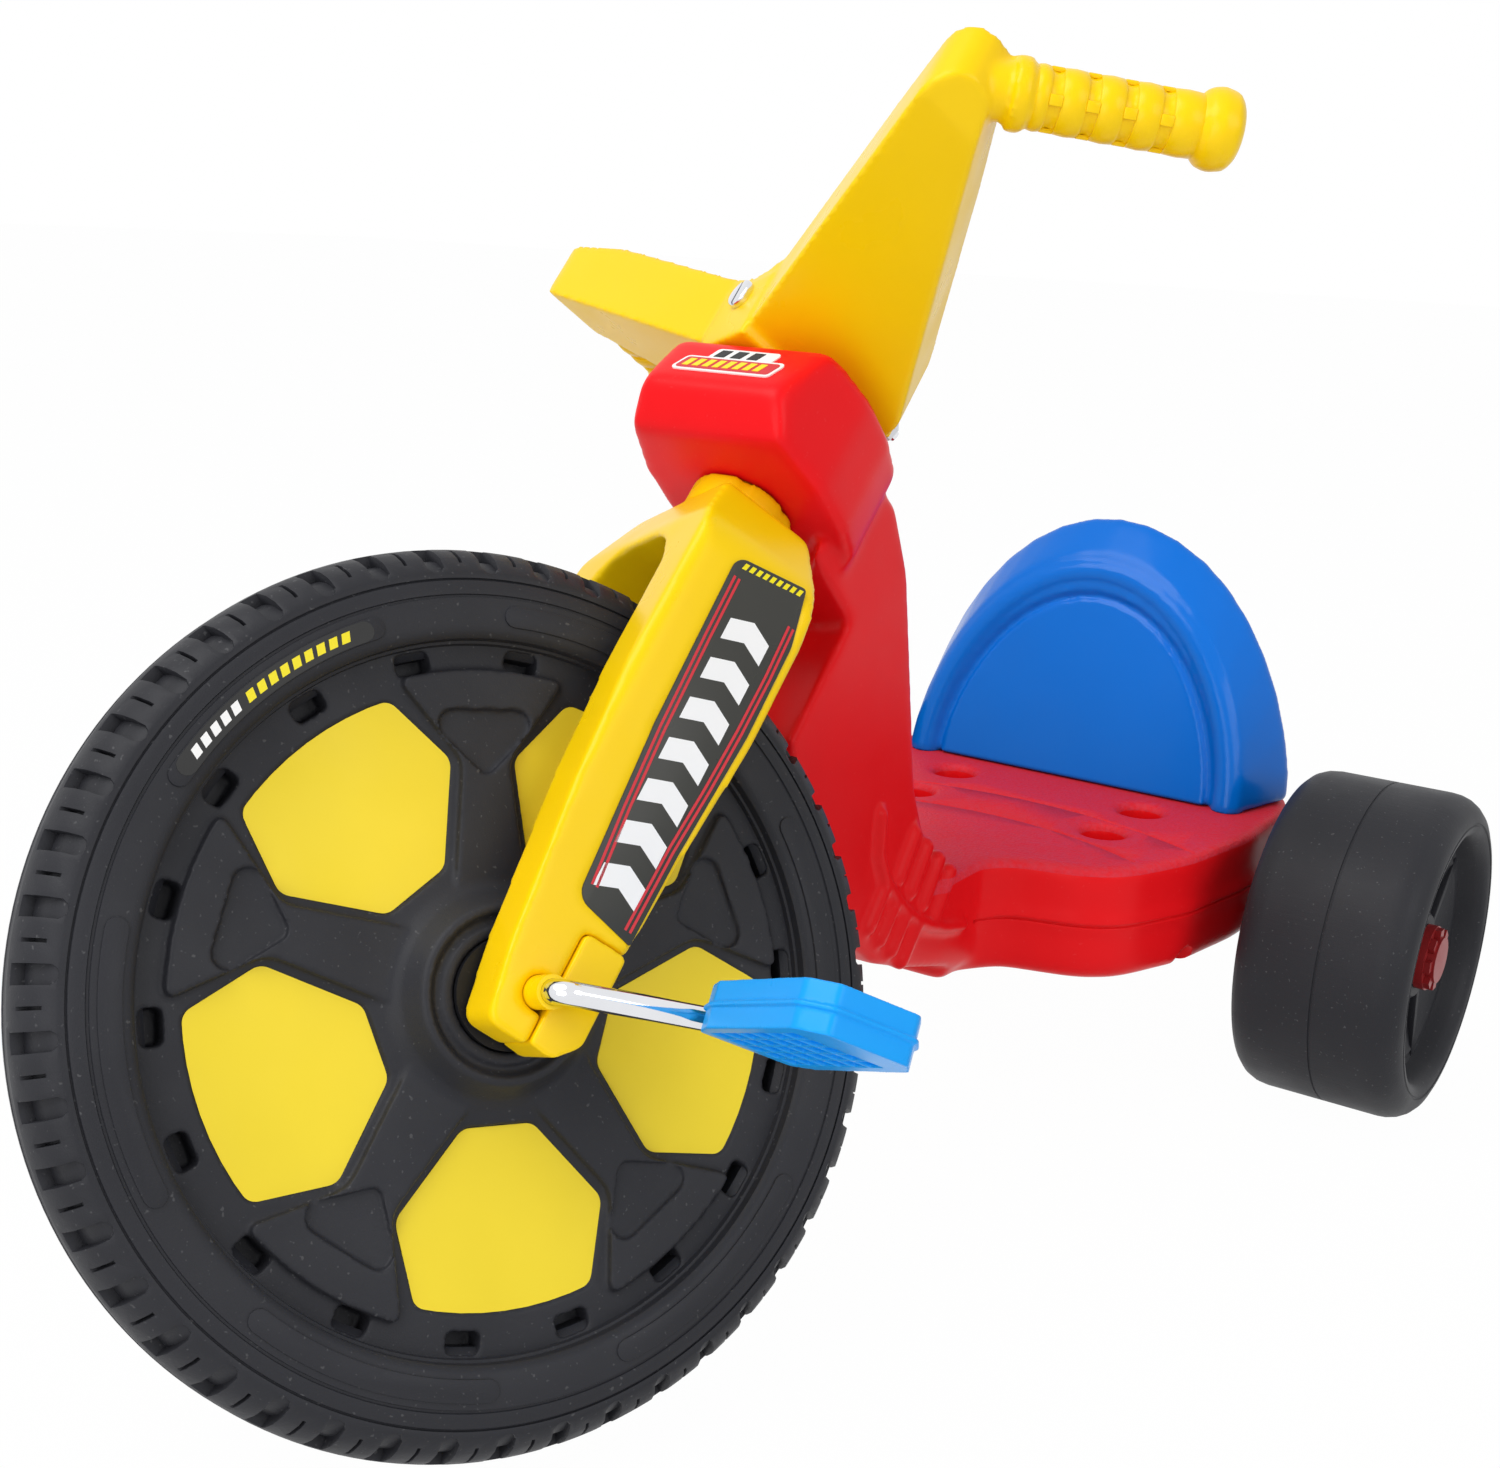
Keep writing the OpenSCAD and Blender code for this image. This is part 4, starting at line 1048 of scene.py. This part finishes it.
def rear_wheel(name, axle):
    """One wide rear wheel: parting line, round shoulders, and a dished face with ribs."""
    profile = [(12, 154), (22, 154), (23.5, 170), (25, 184), (28, 186), (78, 188), (82, 184), (86, 177),
               (90, 174.6), (95, 174), (99.5, 175.5), (103, 179), (105.2, 184), (106, 190), (106, 226.2),
               (105.3, 226.6), (105.3, 227.4), (106, 227.8), (106, 260), (105.5, 265), (103.9, 270),
               (101, 274.5), (97, 278), (92.4, 279.8), (90.2, 280), (89.6, 279.2), (88.4, 279.2),
               (87.8, 279.9), (84.5, 279.2), (81.5, 276.8), (79, 272), (77.4, 266), (76, 262.6), (73, 261.6),
               (70, 262.4), (67, 261.2), (58, 259.6), (36, 256.5), (31, 257.6), (27.6, 262), (26.5, 263),
               (12, 263)]
    wheel = turned(name, profile, 96, axle)
    rib = plate("rib", [(26, -2.4), (76, -3.2), (76, 3.2), (26, 2.4)], 254, 262.8, axle, 0.8)
    angles = [i * 360 / REAR_RIBS + 12 for i in range(REAR_RIBS)]
    return joined(name, [wheel, repeated("ribs", rib, around(axle, angles))])


class TRICYCLE_OT_rear_wheels(bpy.types.Operator):
    """Rear wheels, each with a dished face and ribs"""

    bl_idname = "tricycle.rear_wheels"
    bl_label = "Rear wheels"

    def execute(self, context):
        s = context.scene.tricycle
        for side, body in (("left", "rear_l"), ("right", "rear_r")):
            axle = REAR_AXLE if side == "left" else REAR_AXLE @ FLIP
            wheel = smooth(rear_wheel("rear_wheel_skin_" + side, axle), 32)
            finish_piece(wheel, body, "black_wheel", material("black_wheel", s), "rear_wheel_" + side)
        return {"FINISHED"}


class TRICYCLE_OT_finishes(bpy.types.Operator):
    """Finishes of the CAD pieces that show as they are"""

    bl_idname = "tricycle.finishes"
    bl_label = "Other finishes"

    def execute(self, context):
        s = context.scene.tricycle
        slots = {row["node"]: row["material_slot"] for row in frame["record"]["subparts"]}
        for name, obj in frame["nodes"].items():
            obj.data.materials.clear()
            obj.data.materials.append(material(slots[name], s))
        return {"FINISHED"}


class TRICYCLE_OT_stage(bpy.types.Operator):
    """White floor, soft lamps and the camera of the photograph"""

    bl_idname = "tricycle.stage"
    bl_label = "Photo stage"

    def execute(self, context):
        s = context.scene.tricycle_stage
        self.floor()
        self.world(context)
        self.lamp("key_lamp", (-0.6, -1.6, 2.6), 2.4, s.key_watts)
        self.lamp("side_lamp", (2.4, -0.6, 1.4), 1.6, s.fill_watts)
        self.lamp("front_lamp", (0.4, -2.6, 0.7), 1.6, s.fill_watts)
        self.camera(context, s)
        return {"FINISHED"}

    def floor(self):
        deselect()
        bpy.ops.mesh.primitive_plane_add(size=60, location=(0, 0, -0.0005))
        floor = bpy.context.object
        floor.name = "floor"
        n = Nodes("stage white")
        n.shader.inputs["Base Color"].default_value = (0.86, 0.86, 0.86, 1)
        n.shader.inputs["Roughness"].default_value = 0.9
        # White to the camera, with part of the shadow kept
        glow = n.add("ShaderNodeEmission")
        mix = n.add("ShaderNodeMixShader")
        path = n.add("ShaderNodeLightPath")
        seen = n.math("MAXIMUM", path.outputs["Is Camera Ray"], path.outputs["Is Glossy Ray"])
        n.link(n.math("MULTIPLY", seen, 0.985), mix.inputs["Fac"])
        n.link(n.shader.outputs["BSDF"], mix.inputs[1])
        n.link(glow.outputs["Emission"], mix.inputs[2])
        n.link(mix.outputs["Shader"], n.output.inputs["Surface"])
        floor.data.materials.append(n.material)

    def world(self, context):
        world = bpy.data.worlds.new("studio")
        context.scene.world = world
        world.use_nodes = True
        world.node_tree.nodes.clear()
        add, link = world.node_tree.nodes.new, world.node_tree.links.new
        light, white = add("ShaderNodeBackground"), add("ShaderNodeBackground")
        for background, strength in ((light, 0.4), (white, 1.0)):
            background.inputs["Color"].default_value = (1, 1, 1, 1)
            background.inputs["Strength"].default_value = strength
        mix = add("ShaderNodeMixShader")
        path = add("ShaderNodeLightPath")
        seen = add("ShaderNodeMath")
        seen.operation = "MAXIMUM"
        link(path.outputs["Is Camera Ray"], seen.inputs[0])
        link(path.outputs["Is Glossy Ray"], seen.inputs[1])
        link(seen.outputs["Value"], mix.inputs["Fac"])
        link(light.outputs["Background"], mix.inputs[1])
        link(white.outputs["Background"], mix.inputs[2])
        link(mix.outputs["Shader"], add("ShaderNodeOutputWorld").inputs["Surface"])

    def lamp(self, name, place, size, watts):
        deselect()
        bpy.ops.object.light_add(type="AREA", location=place)
        lamp = bpy.context.object
        lamp.name = name
        lamp.data.shape = "DISK"
        lamp.data.size = size
        lamp.data.energy = watts
        aim = Vector((0, 0, 0.25)) - Vector(place)
        lamp.rotation_euler = aim.to_track_quat("-Z", "Y").to_euler()

    def camera(self, context, s):
        # Measured in the body's frame, from the middle of the front wheel
        place = Vector((0.5493, -0.6255, 0.3492))
        right = Vector((0.8213, 0.5691, 0.0399))
        up = Vector((-0.1931, 0.2116, 0.9581))
        turn = TRIKE.to_3x3()
        right, up = (turn @ right).normalized(), (turn @ up).normalized()
        centre = WHEEL_CENTRE + turn @ place
        deselect()
        bpy.ops.object.camera_add()
        camera = bpy.context.object
        camera.name = "photo_camera"
        camera.matrix_world = frame_matrix(centre, right, up, right.cross(up))
        camera.data.sensor_fit = "HORIZONTAL"
        camera.data.sensor_width = SENSOR
        camera.data.lens = s.focal / FRAME_WIDTH * SENSOR
        camera.data.shift_x = (FRAME_WIDTH / 2 - s.centre_x) / FRAME_WIDTH
        camera.data.shift_y = (s.centre_y - FRAME_HEIGHT / 2) / FRAME_WIDTH
        context.scene.camera = camera


class TRICYCLE_PT_panel(bpy.types.Panel):
    """Sizes, colours and steps of the tricycle in the sidebar"""

    bl_label = "Low rider tricycle"
    bl_idname = "TRICYCLE_PT_panel"
    bl_space_type = "VIEW_3D"
    bl_region_type = "UI"
    bl_category = "Tricycle"

    def draw(self, context):
        for group in (context.scene.tricycle, context.scene.tricycle_stage):
            box = self.layout.box()
            for key in group.__annotations__:
                box.prop(group, key)
        for operator in OPERATORS:
            self.layout.operator(operator.bl_idname)


OPERATORS = (
    TRICYCLE_OT_finishes,
    TRICYCLE_OT_front_wheel,
    TRICYCLE_OT_fork,
    TRICYCLE_OT_handlebar,
    TRICYCLE_OT_body,
    TRICYCLE_OT_seat,
    TRICYCLE_OT_pedals,
    TRICYCLE_OT_rear_wheels,
    TRICYCLE_OT_stage,
)
CLASSES = (TricycleSettings, StageSettings, *OPERATORS, TRICYCLE_PT_panel)


def register():
    for cls in CLASSES:
        bpy.utils.register_class(cls)
    bpy.types.Scene.tricycle = PointerProperty(type=TricycleSettings)
    bpy.types.Scene.tricycle_stage = PointerProperty(type=StageSettings)


def unregister():
    del bpy.types.Scene.tricycle
    del bpy.types.Scene.tricycle_stage
    for cls in reversed(CLASSES):
        bpy.utils.unregister_class(cls)


def main():
    register()
    bpy.context.scene.view_settings.view_transform = "Standard"
    for operator in OPERATORS:
        module, name = operator.bl_idname.split(".")
        getattr(getattr(bpy.ops, module), name)()


if __name__ == "__main__":
    main()
